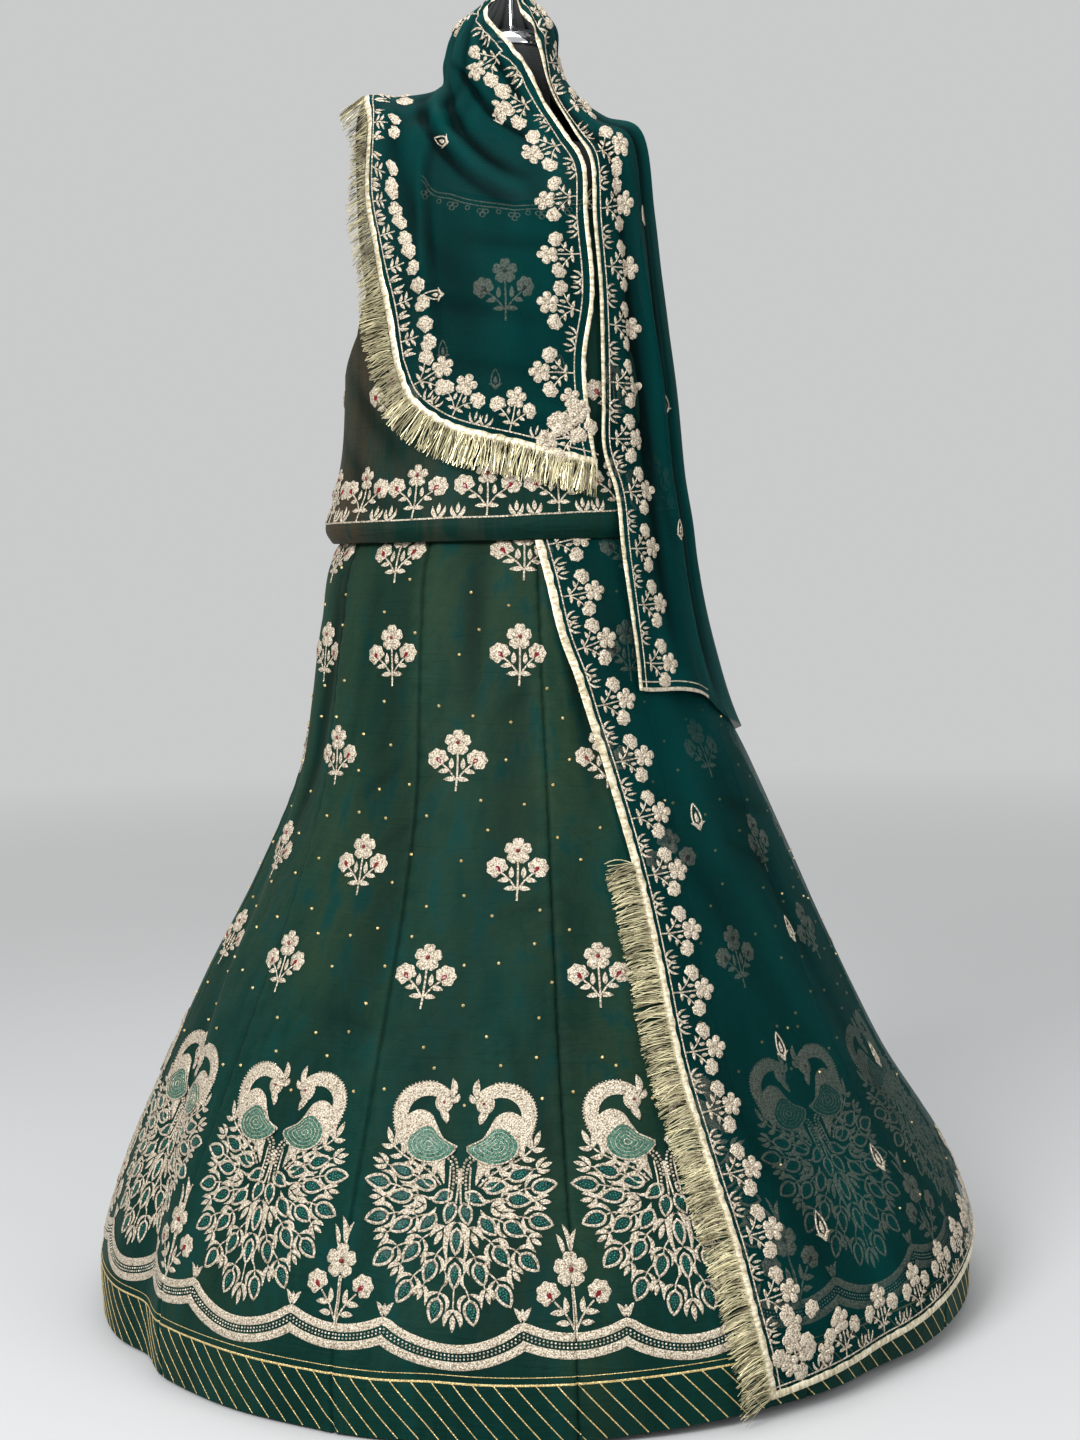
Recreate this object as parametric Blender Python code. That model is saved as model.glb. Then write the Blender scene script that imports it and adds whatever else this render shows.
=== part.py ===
"""Rajputi poshak on a limbless dress form: lehenga, kurti and odhni.

Metres, +Z up, the wearer's front faces -Y and +X is the viewer's right. The origin is the centre of the base
plate's underside. Every cloth is a wall of even thickness. Its outer face is found on one of four closed
surfaces (torso, kurti, skirt and mantle, which is the shape that the odhni takes round them). A point on such a
surface has a turn, in degrees round the axis from the front towards +X, and a level, close to its height.
"""

import math

import bmesh
import bpy
import numpy as np

# Driving sizes
WALL = 0.0012  # every cloth
SEAM = 0.0003  # gap between pieces that are sewn edge to edge, or lie on each other
SEAT = 0.0056  # how far the torso stays inside the kurti's outer face at the shoulders that carry it
VEIL_LIFT = 0.0075  # how far the odhni lies off the skirt
BACK_LIFT = 0.010  # and how much further off it hangs at the back
BACKING = 0.006  # width of the strip that the fringe hangs from
PARTED = 0.0007  # and its distance from the cloth's edge
STRAND, STRAND_PITCH = 0.0048, 0.0090  # width of a fringe strand, and from one to the next
HEM_BAND = 0.062  # height of the lehenga's hem band
HEM_LOW = 0.003  # the hem just clears the floor
HEM_RISE = 0.010  # and rises this much more under the odhni's corner
WAIST = 0.997  # top of the kalis
WAISTBAND_TOP = 1.035
KALIS = 13
FIRST_SEAM = 4.5  # turn of the seam nearest the front
TOP_SPREAD = 14.0  # how many degrees the seams at the sides open out towards the waist
KURTI_HEM = 0.905
UNDERARM = 1.090
SHOULDER_TILT = 0.13  # the form's left shoulder stands higher than its right one
BASE_RADIUS, BASE_THICK = 0.150, 0.012
POLE_RADIUS = 0.016
TORSO_LOW, TORSO_TOP = 0.800, 1.382
NECK_RADIUS, NECK_LOW, NECK_TOP = 0.044, 1.330, 1.484
CAP_RADIUS, CAP_TOP = 0.047, 1.510
KNOB_RADIUS, FINIAL_TOP = 0.0156, 1.566  # the veil's top edge closes round this knob and hangs from it
VEIL_TOP = 1.562
RIDGE = 89.9  # turn of the seams at the sides, half a seam short of 90
FRONT_FRINGE, LOWER_FRINGE = 0.040, 0.038  # length of the strands
SIDE_SEAM = 100.0  # turn at which the odhni's right fall and lower end pass into its back

# Half-widths and half-depths of the four surfaces, one row for each level
SKIRT = (
    ("level", "left", "right", "front", "back"),
    (0.000, 0.530, 0.528, 0.542, 0.462),
    (0.070, 0.530, 0.527, 0.540, 0.460),
    (0.150, 0.506, 0.500, 0.513, 0.437),
    (0.280, 0.448, 0.422, 0.448, 0.388),
    (0.390, 0.396, 0.370, 0.392, 0.342),
    (0.510, 0.331, 0.318, 0.328, 0.296),
    (0.640, 0.275, 0.262, 0.266, 0.246),
    (0.720, 0.259, 0.224, 0.236, 0.218),
    (0.810, 0.244, 0.200, 0.206, 0.192),
    (0.900, 0.220, 0.180, 0.166, 0.156),
    (0.955, 0.166, 0.152, 0.132, 0.128),
    (0.997, 0.1265, 0.1265, 0.0925, 0.0965),
)
KURTI = (
    ("level", "left", "right", "front", "back"),
    (0.905, 0.230, 0.189, 0.174, 0.162),
    (0.915, 0.236, 0.194, 0.180, 0.167),
    (0.950, 0.228, 0.190, 0.170, 0.158),
    (1.000, 0.217, 0.184, 0.157, 0.145),
    (1.080, 0.211, 0.177, 0.147, 0.129),
    (1.180, 0.207, 0.168, 0.142, 0.118),
    (1.240, 0.197, 0.162, 0.132, 0.112),
    (1.300, 0.186, 0.156, 0.102, 0.098),
    (1.360, 0.176, 0.152, 0.062, 0.068),
    (1.390, 0.170, 0.148, 0.030, 0.034),
    (1.405, 0.165, 0.145, 0.003, 0.003),
)
TORSO = (
    ("level", "left", "right", "front", "back"),
    (0.800, 0.148, 0.148, 0.098, 0.112),
    (0.860, 0.156, 0.156, 0.104, 0.118),
    (0.930, 0.146, 0.146, 0.097, 0.108),
    (1.020, 0.120, 0.120, 0.088, 0.090),
    (1.100, 0.130, 0.130, 0.102, 0.090),
    (1.200, 0.148, 0.146, 0.124, 0.098),
    (1.250, 0.154, 0.146, 0.113, 0.098),
)
# The mantle's points also rise above their level where the odhni spans the shoulders
MANTLE = (
    ("level", "left", "right", "front", "back", "rise_left", "rise_right", "rise_front", "rise_back"),
    (0.640, 0.283, 0.270, 0.274, 0.264, 0.000, 0.000, 0.000, 0.000),
    (0.700, 0.270, 0.244, 0.254, 0.244, 0.000, 0.000, 0.000, 0.000),
    (0.770, 0.262, 0.224, 0.234, 0.224, 0.000, 0.000, 0.000, 0.000),
    (0.876, 0.250, 0.206, 0.200, 0.194, 0.000, 0.000, 0.000, 0.000),
    (0.920, 0.246, 0.202, 0.189, 0.177, 0.000, 0.000, 0.000, 0.000),
    (0.972, 0.234, 0.194, 0.175, 0.162, 0.000, 0.000, 0.000, 0.000),
    (1.080, 0.222, 0.184, 0.156, 0.138, 0.000, 0.000, 0.000, 0.000),
    (1.164, 0.214, 0.175, 0.150, 0.128, 0.000, 0.000, 0.000, 0.000),
    (1.220, 0.206, 0.169, 0.146, 0.124, 0.010, 0.005, 0.000, 0.000),
    (1.260, 0.200, 0.163, 0.136, 0.121, 0.055, 0.030, -0.005, 0.002),
    (1.320, 0.180, 0.150, 0.122, 0.112, 0.108, 0.066, -0.012, 0.012),
    (1.370, 0.136, 0.109, 0.102, 0.098, 0.062, 0.034, -0.012, 0.020),
    (1.420, 0.088, 0.072, 0.078, 0.084, 0.022, 0.018, -0.010, 0.014),
    (1.475, 0.080, 0.054, 0.066, 0.074, 0.002, 0.000, 0.000, 0.000),
    (1.510, 0.067, 0.052, 0.054, 0.062, 0.000, 0.000, 0.000, 0.000),
    (1.545, 0.027, 0.024, 0.026, 0.028, 0.000, 0.000, 0.000, 0.000),
    (1.572, 0.011, 0.011, 0.011, 0.011, 0.000, 0.000, 0.000, 0.000),
)
SKIRT_FOLDS = (  # soft troughs that run down the skirt: turn at the waist and at the hem, depth, half-width
    ("turn_top", "turn_low", "depth", "spread"),
    (-17.0, -12.0, 0.004, 4.0),
    (-92.0, -58.0, 0.012, 5.0),
    (52.0, 44.0, 0.006, 6.0),
    (128.0, 118.0, 0.009, 6.0),
    (176.0, 172.0, 0.008, 6.0),
    (221.0, 232.0, 0.010, 6.0),
)
VEIL_FOLDS = (  # folds of the odhni's back and right fall, from the shoulders down
    ("turn_top", "turn_low", "depth", "spread"),
    (62.0, 56.0, 0.005, 6.0),
    (92.0, 84.0, 0.006, 6.0),
    (124.0, 116.0, 0.009, 7.0),
    (150.0, 142.0, 0.010, 7.0),
    (181.0, 170.0, 0.010, 8.0),
    (212.0, 196.0, 0.008, 7.0),
)

# Edges of the cut cloths, as rows of turn and level
NECKLINE_FRONT = ((0, 1.292), (22, 1.303), (34, 1.320), (38, 1.344), (39.2, 1.372), (40.2, 1.392), (41, 1.405))
NECKLINE_BACK = ((0, 1.345), (22, 1.350), (34, 1.360), (38, 1.374), (39.2, 1.384), (40.2, 1.395), (41, 1.405))
ARMHOLE = (
    (56, 1.405), (56.2, 1.393), (56.5, 1.370), (56.8, 1.335), (57.4, 1.270), (59, 1.190), (64, 1.148), (71, 1.128),
    (79, 1.107), (90, 1.096),
)
INNER_EDGE = (  # long edge of the front end, from the finial to its corner on the chest
    (-54, 1.560), (-30, 1.520), (-9, 1.492), (2, 1.474), (20, 1.450), (31, 1.404), (34, 1.356), (31, 1.284),
    (30, 1.176), (25, 1.108), (25, 1.040), (27, 0.988),
)
FRINGE_EDGE = (  # short edge of the front end: down from the shoulder's ridge
    (-RIDGE, 1.330), (-76, 1.322), (-64, 1.302), (-61, 1.268), (-53, 1.232), (-46, 1.184), (-40, 1.110),
)
CHEST_EDGE = ((-40, 1.110), (-34, 1.068), (-24, 1.040), (0, 1.012), (27, 0.988))  # and on to that corner
RIGHT_EDGE = (  # long edge of the right fall, from the finial to the swag's fold
    (4, 1.560), (22, 1.510), (30, 1.496), (37, 1.478), (40, 1.440), (42, 1.404), (39.5, 1.356), (35, 1.292),
    (33.5, 1.176), (31.5, 1.060), (30.5, 1.008), (34, 0.960), (34, 0.908), (35, 0.812), (35, 0.776), (34, 0.732),
)
SWAG_FOLD = ((34, 0.732), (60, 0.720), (76, 0.686), (SIDE_SEAM, 0.662))
SLANT_EDGE = (  # short edge of the lower end, from the waist to the floor
    (4, 0.925), (8.5, 0.856), (12, 0.792), (15.5, 0.750), (18, 0.700), (20.5, 0.624), (22.5, 0.532),
    (23, 0.448), (23, 0.352), (24, 0.272), (24.5, 0.188), (25, 0.112), (26.5, 0.026),
)
FLOOR_EDGE = ((26.5, 0.026), (35, 0.034), (47.5, 0.044), (60, 0.056), (74, 0.072), (SIDE_SEAM, 0.105))
BACK_EDGE = (  # long edge that hangs across the back, from the right side up to the left shoulder
    (SIDE_SEAM, 0.105), (120, 0.200), (150, 0.450), (180, 0.720), (215, 1.000), (245, 1.220), (180 + RIDGE, 1.330),
)
LOWER_FRINGE_TOP = 0.535  # level at which the lower end's fringe starts


def columns(rows):
    """A table as a dictionary of arrays, under the names of its first row."""
    return {name: np.array([row[i] for row in rows[1:]], float) for i, name in enumerate(rows[0])}


SKIRT, KURTI, TORSO, MANTLE, SKIRT_FOLDS, VEIL_FOLDS = map(
    columns, (SKIRT, KURTI, TORSO, MANTLE, SKIRT_FOLDS, VEIL_FOLDS)
)


def smooth_through(known, values, at):
    """A smooth curve through values at the rising positions known."""
    at = np.clip(np.asarray(at, float), known[0], known[-1])
    slope = np.gradient(values, known)
    i = np.clip(np.searchsorted(known, at, side="right") - 1, 0, len(known) - 2)
    width = known[i + 1] - known[i]
    t = (at - known[i]) / width
    return (
        values[i] * (2 * t**3 - 3 * t**2 + 1)
        + slope[i] * width * (t**3 - 2 * t**2 + t)
        + values[i + 1] * (3 * t**2 - 2 * t**3)
        + slope[i + 1] * width * (t**3 - t**2)
    )


def ease(low, high, at):
    """0 below low, 1 above high, and smooth between."""
    t = np.clip((np.asarray(at, float) - low) / (high - low), 0, 1)
    return t * t * (3 - 2 * t)


def ring(table, turn, level, inset=0.0):
    """x and y on the oval that a table gives at a level."""
    sine, cosine = np.sin(np.radians(turn)), np.cos(np.radians(turn))
    at = lambda name: smooth_through(table["level"], table[name], level) - inset
    across = np.where(sine < 0, at("left"), at("right"))
    deep = np.where(cosine > 0, at("front"), at("back"))
    return across * sine, -deep * cosine


def trough(folds, turn, level, low, high):
    """Depth of the folds at a point, from level low up to high."""
    total = 0.0
    for top, bottom, depth, spread in zip(*(folds[name] for name in ("turn_top", "turn_low", "depth", "spread"))):
        middle = bottom + (top - bottom) * np.clip((level - low) / (high - low), 0, 1)
        away = (np.asarray(turn) - middle + 180) % 360 - 180
        total = total + depth * np.exp(-((away / spread) ** 2))
    return total


def lean(x, level):
    """How far the shoulders' tilt lifts a point."""
    return -SHOULDER_TILT * x * ease(1.20, 1.38, level)


def skirt_point(turn, level):
    x, y = ring(SKIRT, turn, level)
    sunk = 1 - trough(SKIRT_FOLDS, turn, level, 0.1, 0.9) * ease(0.95, 0.70, level) / 0.4
    return np.stack([x * sunk, y * sunk, level + 0 * x], -1)


def kurti_point(turn, level):
    x, y = ring(KURTI, turn, level)
    return np.stack([x, y, level + lean(x, level)], -1)


def torso_point(turn, level):
    """The torso follows its own table to the bust and lies close under the kurti above it."""
    x, y = ring(TORSO, turn, np.minimum(level, 1.25))
    upper_x, upper_y = ring(KURTI, turn, np.maximum(level, 1.25), SEAT)
    share = ease(1.24, 1.30, level)
    x, y = x + (upper_x - x) * share, y + (upper_y - y) * share
    return np.stack([x, y, level + lean(x, level)], -1)


def mantle_point(turn, level):
    sine, cosine = np.sin(np.radians(turn)), np.cos(np.radians(turn))
    x, y = ring(MANTLE, turn, level)
    at = lambda name: smooth_through(MANTLE["level"], MANTLE[name], level)
    rise = np.where(sine < 0, at("rise_left"), at("rise_right")) * sine**2
    rise = rise + np.where(cosine > 0, at("rise_front"), at("rise_back")) * cosine**2
    stands = 1 + trough(VEIL_FOLDS, turn, level, 0.6, 1.4) * ease(1.40, 1.15, level) / 0.2
    high = np.stack([x * stands, y * stands, level + rise], -1)
    low = veil_low_point(turn, level)
    share = ease(0.56, 0.64, level)[..., None]
    return low + (high - low) * share


def veil_low_point(turn, level):
    """The odhni where it lies on the skirt."""
    point = skirt_point(turn, level)
    across = np.linalg.norm(point[..., :2], axis=-1, keepdims=True)
    lift = VEIL_LIFT + BACK_LIFT * ease(SIDE_SEAM, SIDE_SEAM + 20, turn)[..., None]
    return point * np.concatenate([1 + lift / across] * 2 + [np.ones_like(across)], -1)


def outward(surface, turn, level):
    """The surface's normal."""
    small_turn, small_level = 0.2, 0.0015
    along = surface(turn + small_turn, level) - surface(turn - small_turn, level)
    up = surface(turn, level + small_level) - surface(turn, level - small_level)
    normal = np.cross(along, up)
    return normal / np.linalg.norm(normal, axis=-1, keepdims=True)


def kali_turn(turn, level):
    """Where a seam's turn at the hem lies higher up: the seams at the sides open out towards the waist."""
    return turn + TOP_SPREAD * np.sin(np.radians(turn)) * ease(0.35, 0.90, level)


def material(name, colour, roughness, metallic=0.0):
    made = bpy.data.materials.new(name)
    made.use_nodes = True
    shader = made.node_tree.nodes["Principled BSDF"]
    shader.inputs["Base Color"].default_value = (*colour, 1)
    shader.inputs["Roughness"].default_value = roughness
    shader.inputs["Metallic"].default_value = metallic
    return made


def add(name, points, faces, finish, smooth=True):
    """A closed solid from points and faces, its normals turned outwards."""
    mesh = bpy.data.meshes.new(name)
    mesh.from_pydata([tuple(map(float, point)) for point in points], [], faces)
    shape = bmesh.new()
    shape.from_mesh(mesh)
    bmesh.ops.recalc_face_normals(shape, faces=shape.faces)
    if shape.calc_volume(signed=True) < 0:
        bmesh.ops.reverse_faces(shape, faces=shape.faces)
    shape.to_mesh(mesh)
    shape.free()
    made = bpy.data.objects.new(name, mesh)
    bpy.context.scene.collection.objects.link(made)
    mesh.materials.append(finish)
    if smooth:
        mesh.shade_smooth()
        mesh.set_sharp_from_angle(angle=math.radians(40))
    return made


def wall(name, outer, inner, finish):
    """A cloth wall between two grids of points."""
    rows, across = outer.shape[:2]
    points = np.concatenate([outer.reshape(-1, 3), inner.reshape(-1, 3)])
    at = lambda row, column, side: side * rows * across + row * across + column
    faces = []
    for row in range(rows - 1):
        for column in range(across - 1):
            a, b, c, d = (row, column), (row, column + 1), (row + 1, column + 1), (row + 1, column)
            for corners in ((a, b, c), (a, c, d)):
                faces.append([at(*corner, 0) for corner in corners])
                faces.append([at(*corner, 1) for corner in reversed(corners)])
    for row in (0, rows - 1):
        for column in range(across - 1):
            faces.append([at(row, column, 0), at(row, column + 1, 0), at(row, column + 1, 1), at(row, column, 1)])
    for column in (0, across - 1):
        for row in range(rows - 1):
            faces.append([at(row, column, 0), at(row + 1, column, 0), at(row + 1, column, 1), at(row, column, 1)])
    return add(name, points, faces, finish)


def cloth(name, surface, turn, level, finish, lift=0.0):
    """A wall whose outer face passes through a grid of turns and levels."""
    normal = outward(surface, turn, level)
    outer = surface(turn, level) + normal * lift
    return wall(name, outer, outer - normal * WALL, finish)


def along(edge, count):
    """Points spaced evenly along an edge's smooth curve, as (count, 2) turns and levels."""
    edge = np.array(edge, float)
    steps = np.hypot(*(np.diff(edge, axis=0) * (0.0035, 1)).T)
    run = np.concatenate([[0], np.cumsum(steps)])
    at = np.linspace(0, run[-1], count)
    return np.stack([smooth_through(run, edge[:, i], at) for i in (0, 1)], -1)


def patch(left, right, top, bottom, rows, across, narrow_left=0.0, narrow_right=0.0, narrow_bottom=0.0):
    """A grid of turns and levels inside four edges, with a narrow first or last strip for the piping."""
    inside = np.linspace(narrow_left, 1 - narrow_right, across - bool(narrow_left) - bool(narrow_right))
    u = np.unique([0, *inside, 1])
    v = np.unique([*np.linspace(0, 1 - narrow_bottom, rows - bool(narrow_bottom)), 1])
    fine = 400
    read = lambda edge, at: np.stack(
        [np.interp(at, np.linspace(0, 1, fine), along(edge, fine)[:, i]) for i in (0, 1)], -1
    )
    left, right, top, bottom = read(left, v), read(right, v), read(top, u), read(bottom, u)
    u, v = u[None, :, None], v[:, None, None]
    grid = (1 - u) * left[:, None] + u * right[:, None] + (1 - v) * top[None] + v * bottom[None]
    grid -= (1 - u) * (1 - v) * left[0] + u * (1 - v) * right[0] + (1 - u) * v * left[-1] + u * v * right[-1]
    return grid[..., 0], grid[..., 1]


def piping(name, surface, turn, level, finish):
    """Gota piping on a strip of a cloth: the cloth's own points, moved out."""
    return cloth(name, surface, turn, level, finish, lift=SEAM + WALL)


def fringe(name, surface, turn, level, length, finish, floor=0.004):
    """A backing strip just off the edge through these points, with flat strands that stand apart from each other.

    The cloth lies to the left of the edge as it runs, seen from outside.
    """
    place, normal = surface(turn, level), outward(surface, turn, level)
    forward = np.gradient(place, axis=0)
    forward /= np.linalg.norm(forward, axis=1, keepdims=True)
    out = np.cross(forward, normal)
    out /= np.linalg.norm(out, axis=1, keepdims=True)
    lengths = np.linalg.norm(np.diff(place, axis=0), axis=1)
    cells = np.maximum(np.round(lengths / STRAND_PITCH), 1).astype(int)
    share = [i + step / n for i, n in enumerate(cells) for step in range(n)] + [len(cells)]
    share = np.array(share, float)
    mix = lambda values, at: np.stack([np.interp(at, np.arange(len(values)), values[:, i]) for i in range(3)], -1)
    middle = (share[1:] + share[:-1]) / 2
    points, faces = [], []

    def pair(spot, lies_on):
        """The same spot on the strip's outer and inner face."""
        points.extend([spot, spot - lies_on * WALL])
        return len(points) - 2

    def quad(a, b):
        faces.append([a, b, b + 1, a + 1])

    near = [pair(spot, up) for spot, up in zip(mix(place, share) + mix(out, share) * PARTED, mix(normal, share))]
    roots = []
    for i, (spot, up, along_it, away) in enumerate(
        zip(mix(place, middle), mix(normal, middle), mix(forward, middle), mix(out, middle))
    ):
        reach = length * (0.86 + 0.14 * math.sin(2.7 * i) * math.cos(1.3 * i))
        direction = away + along_it * 0.10 * math.sin(1.9 * i + 0.4)
        base = spot + away * BACKING
        half = along_it * STRAND / 2
        tip = base + direction * reach
        tip[2] = max(tip[2], floor + WALL)
        a, b, c, d = (pair(corner, up) for corner in (base - half, base + half, tip + half, tip - half))
        for step in (0, 1):
            faces.append([near[i] + step, near[i + 1] + step, b + step, a + step])
            faces.append([a + step, b + step, c + step, d + step])
            if roots:
                faces.append([near[i] + step, a + step, roots[-1] + step])
        quad(near[i], near[i + 1])
        for start, end in ((b, c), (c, d), (d, a)):
            quad(start, end)
        quad(roots[-1] if roots else near[0], a)
        roots.append(b)
    quad(near[-1], roots[-1])
    return add(name, points, faces, finish, smooth=False)


def turned(name, radii, heights, sides, finish):
    """A solid of revolution on the axis, closed by its first and last rings."""
    angles = np.linspace(0, 2 * math.pi, sides, endpoint=False)
    points = [(r * math.sin(a), r * math.cos(a), z) for r, z in zip(radii, heights) for a in angles]
    faces = [list(range(sides)), list(range(len(points) - sides, len(points)))]
    for low in range(0, len(points) - sides, sides):
        for i in range(sides):
            following = (i + 1) % sides
            faces.append([low + i, low + following, low + sides + following, low + sides + i])
    return add(name, points, faces, finish)


def make_form(dark, chrome, painted):
    """Base plate, pole, torso, neck block, cap and finial."""
    edge = 0.003
    turned("form_base", (BASE_RADIUS, BASE_RADIUS, BASE_RADIUS - edge), (0, BASE_THICK - edge, BASE_THICK), 32, painted)
    turned("form_pole", [POLE_RADIUS] * 2, (BASE_THICK + SEAM, TORSO_LOW - SEAM), 14, chrome)
    levels = np.array([TORSO_LOW, 0.86, 0.93, WAIST, 1.02, WAISTBAND_TOP, 1.10, 1.17, 1.23, 1.295, 1.346, TORSO_TOP])
    turns = np.arange(0, 360, 15.0)
    points = torso_point(turns[None], levels[:, None]).reshape(-1, 3)
    sides = len(turns)
    faces = [list(range(sides)), list(range(len(points) - sides, len(points)))]
    for low in range(0, len(points) - sides, sides):
        for i in range(sides):
            following = (i + 1) % sides
            faces.append([low + i, low + following, low + sides + following, low + sides + i])
    torso = add("form_torso", points, faces, dark)
    socket = turned("neck_socket", [NECK_RADIUS + SEAM] * 2, (NECK_LOW - SEAM, NECK_TOP), 20, dark)
    socket.hide_render = True
    socket.display_type = "WIRE"
    cut = torso.modifiers.new("neck socket", "BOOLEAN")
    cut.operation = "DIFFERENCE"
    cut.object = socket
    turned("form_neck", [NECK_RADIUS] * 2, (NECK_LOW, NECK_TOP), 20, dark)
    rise = CAP_TOP - NECK_TOP
    steps = np.radians((0, 30, 60, 80))
    turned(
        "form_neck_cap",
        [CAP_RADIUS, *(CAP_RADIUS * np.cos(steps[1:]))],
        [NECK_TOP + SEAM, *(NECK_TOP + SEAM + rise * np.sin(steps[1:]))],
        24,
        chrome,
    )
    low = NECK_TOP + SEAM + rise * math.sin(steps[-1]) + SEAM
    turned(
        "form_finial",
        (0.006, 0.005, 0.005, 0.012, KNOB_RADIUS, 0.007),
        (low, low + 0.004, FINIAL_TOP - 0.022, FINIAL_TOP - 0.016, FINIAL_TOP - 0.007, FINIAL_TOP),
        12,
        chrome,
    )


def make_lehenga(silk, inside):
    """The kalis, the hem band's lengths under them and the waistband's halves."""
    half_gap = SEAM / 2
    pitch = 360 / KALIS
    band_top = HEM_LOW + HEM_BAND
    for number in range(KALIS):
        start = FIRST_SEAM - (number + 1) * pitch
        parts = np.linspace(0, 1, 5)
        levels = np.array([WAIST, 0.955, 0.91, 0.86, 0.78, 0.70, 0.62, 0.52, 0.42, 0.31, 0.20, 0.13, band_top + SEAM])
        part, level = np.meshgrid(parts, levels)
        turn = kali_turn(start + part * pitch, level)
        across = np.linalg.norm(skirt_point(turn, level)[..., :2], axis=-1)
        turn = turn + np.degrees(half_gap / across) * (1 - 2 * part)
        cloth(f"lehenga_kali_{number + 1:02d}", skirt_point, turn, level, silk)
        part, share = np.meshgrid(parts, np.array([1, 0.45, 0]))
        turn = start + part * pitch
        rise = HEM_RISE * ease(-5, 30, turn) * ease(150, 100, turn)
        level = HEM_LOW + rise + (HEM_BAND - rise) * share
        turn = turn + np.degrees(half_gap / SKIRT["front"][0]) * (1 - 2 * part)
        cloth(f"lehenga_hem_{number + 1:02d}", skirt_point, turn, level, silk)
    for name, start in (("lehenga_waistband_front", -90), ("lehenga_waistband_back", 90)):
        turn, level = np.meshgrid(
            np.linspace(start + 90 - RIDGE, start + 90 + RIDGE, 13), np.array([WAISTBAND_TOP, 1.02, WAIST + 2 * SEAM])
        )
        normal = outward(torso_point, turn, level)
        inner = torso_point(turn, level) + normal * 2 * SEAM
        wall(name, inner + normal * 2 * WALL, inner, inside)


def make_kurti(silk):
    """Front and back, each from the hem to the neckline, shoulder and armhole."""
    for name, neckline, facing in (("kurti_front", NECKLINE_FRONT, 0), ("kurti_back", NECKLINE_BACK, 180)):
        half = [*neckline, (48, 1.405), *ARMHOLE]
        top_turn = np.array([turn for turn, _ in half], float)
        top_level = np.array([level for _, level in half])
        turns = np.concatenate([-top_turn[::-1], [-11], [0], [11], top_turn])
        turns = np.unique(np.clip(turns, -RIDGE, RIDGE))
        top = np.interp(np.abs(turns), top_turn, top_level)
        lower = np.array([KURTI_HEM, 0.915, 0.950, 1.015])
        upper = np.array([0, 0.24, 0.46, 0.66, 0.82, 0.93, 1])  # closer where the shoulders round over
        level = np.concatenate(
            [np.repeat(lower[:, None], len(turns), 1), UNDERARM - 0.01 + (top - UNDERARM + 0.01) * upper[:, None]]
        )
        turn = np.repeat(turns[None], len(level), 0)
        turn = turn + facing if facing == 0 else facing - turn
        cloth(name, kurti_point, turn, level, silk)


def make_odhni(net, gold, kiran):
    """The four stretches of the veil that show, their piping and the two lengths of fringe."""
    gap = math.degrees(SEAM / 2 / 0.12)
    ridge = ((-RIDGE, VEIL_TOP), (-RIDGE, 1.500), (-RIDGE, 1.420), (-RIDGE, 1.370), FRINGE_EDGE[0])
    turn, level = patch(
        ridge + FRINGE_EDGE[1:], INNER_EDGE, (ridge[0], INNER_EDGE[0]), CHEST_EDGE, 21, 10,
        narrow_left=0.045, narrow_right=0.045, narrow_bottom=0.016,
    )
    turn = np.maximum(turn, ridge[0][0])
    cloth("odhni_front", mantle_point, turn, level, net)
    below_ridge = int(np.argmax(turn[:, 0] > ridge[0][0] + 1))
    piping("odhni_piping_front_inner", mantle_point, turn[:, -2:], level[:, -2:], gold)
    piping("odhni_piping_front_side", mantle_point, turn[below_ridge:-2, :2], level[below_ridge:-2, :2], gold)
    piping("odhni_piping_front_lower", mantle_point, turn[-2:, :-2], level[-2:, :-2], gold)
    edge = np.concatenate([np.stack([turn, level], -1)[below_ridge:, 0], np.stack([turn, level], -1)[-1, 1:]])
    fringe("odhni_fringe_front", mantle_point, edge[:, 0], edge[:, 1], FRONT_FRINGE, kiran)
    side = SIDE_SEAM - gap
    turn, level = patch(
        RIGHT_EDGE, ((side, VEIL_TOP), (side, SWAG_FOLD[-1][1])), (RIGHT_EDGE[0], (side, VEIL_TOP)), SWAG_FOLD, 21, 9,
        narrow_left=0.06,
    )
    turn = np.minimum(turn, side)
    cloth("odhni_right_fall", mantle_point, turn, level, net)
    piping("odhni_piping_right", mantle_point, turn[1:, :2], level[1:, :2], gold)
    side = SIDE_SEAM + gap
    turn, level = patch(
        ((side, VEIL_TOP), (side, BACK_EDGE[0][1])), ((180 + RIDGE, VEIL_TOP), (180 + RIDGE, BACK_EDGE[-1][1])),
        ((side, VEIL_TOP), (180 + RIDGE, VEIL_TOP)), BACK_EDGE, 22, 17, narrow_bottom=0.012,
    )
    turn = np.clip(turn, side, 180 + RIDGE)
    cloth("odhni_back", mantle_point, turn, level, net)
    piping("odhni_piping_back", mantle_point, turn[-2:], level[-2:], gold)
    side = SIDE_SEAM - gap
    turn, level = patch(
        SLANT_EDGE, ((side, SLANT_EDGE[0][1]), (side, FLOOR_EDGE[-1][1])), (SLANT_EDGE[0], (side, SLANT_EDGE[0][1])),
        FLOOR_EDGE, 19, 12, narrow_left=0.022, narrow_bottom=0.011,
    )
    turn = np.minimum(turn, side)
    cloth("odhni_lower", veil_low_point, turn, level, net)
    piping("odhni_piping_slant", veil_low_point, turn[1:-2, :2], level[1:-2, :2], gold)
    piping("odhni_piping_floor", veil_low_point, turn[-2:], level[-2:], gold)
    start = int(np.argmax(level[:, 0] < LOWER_FRINGE_TOP))
    fringe("odhni_fringe_lower", veil_low_point, turn[start:, 0], level[start:, 0], LOWER_FRINGE, kiran)


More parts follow.
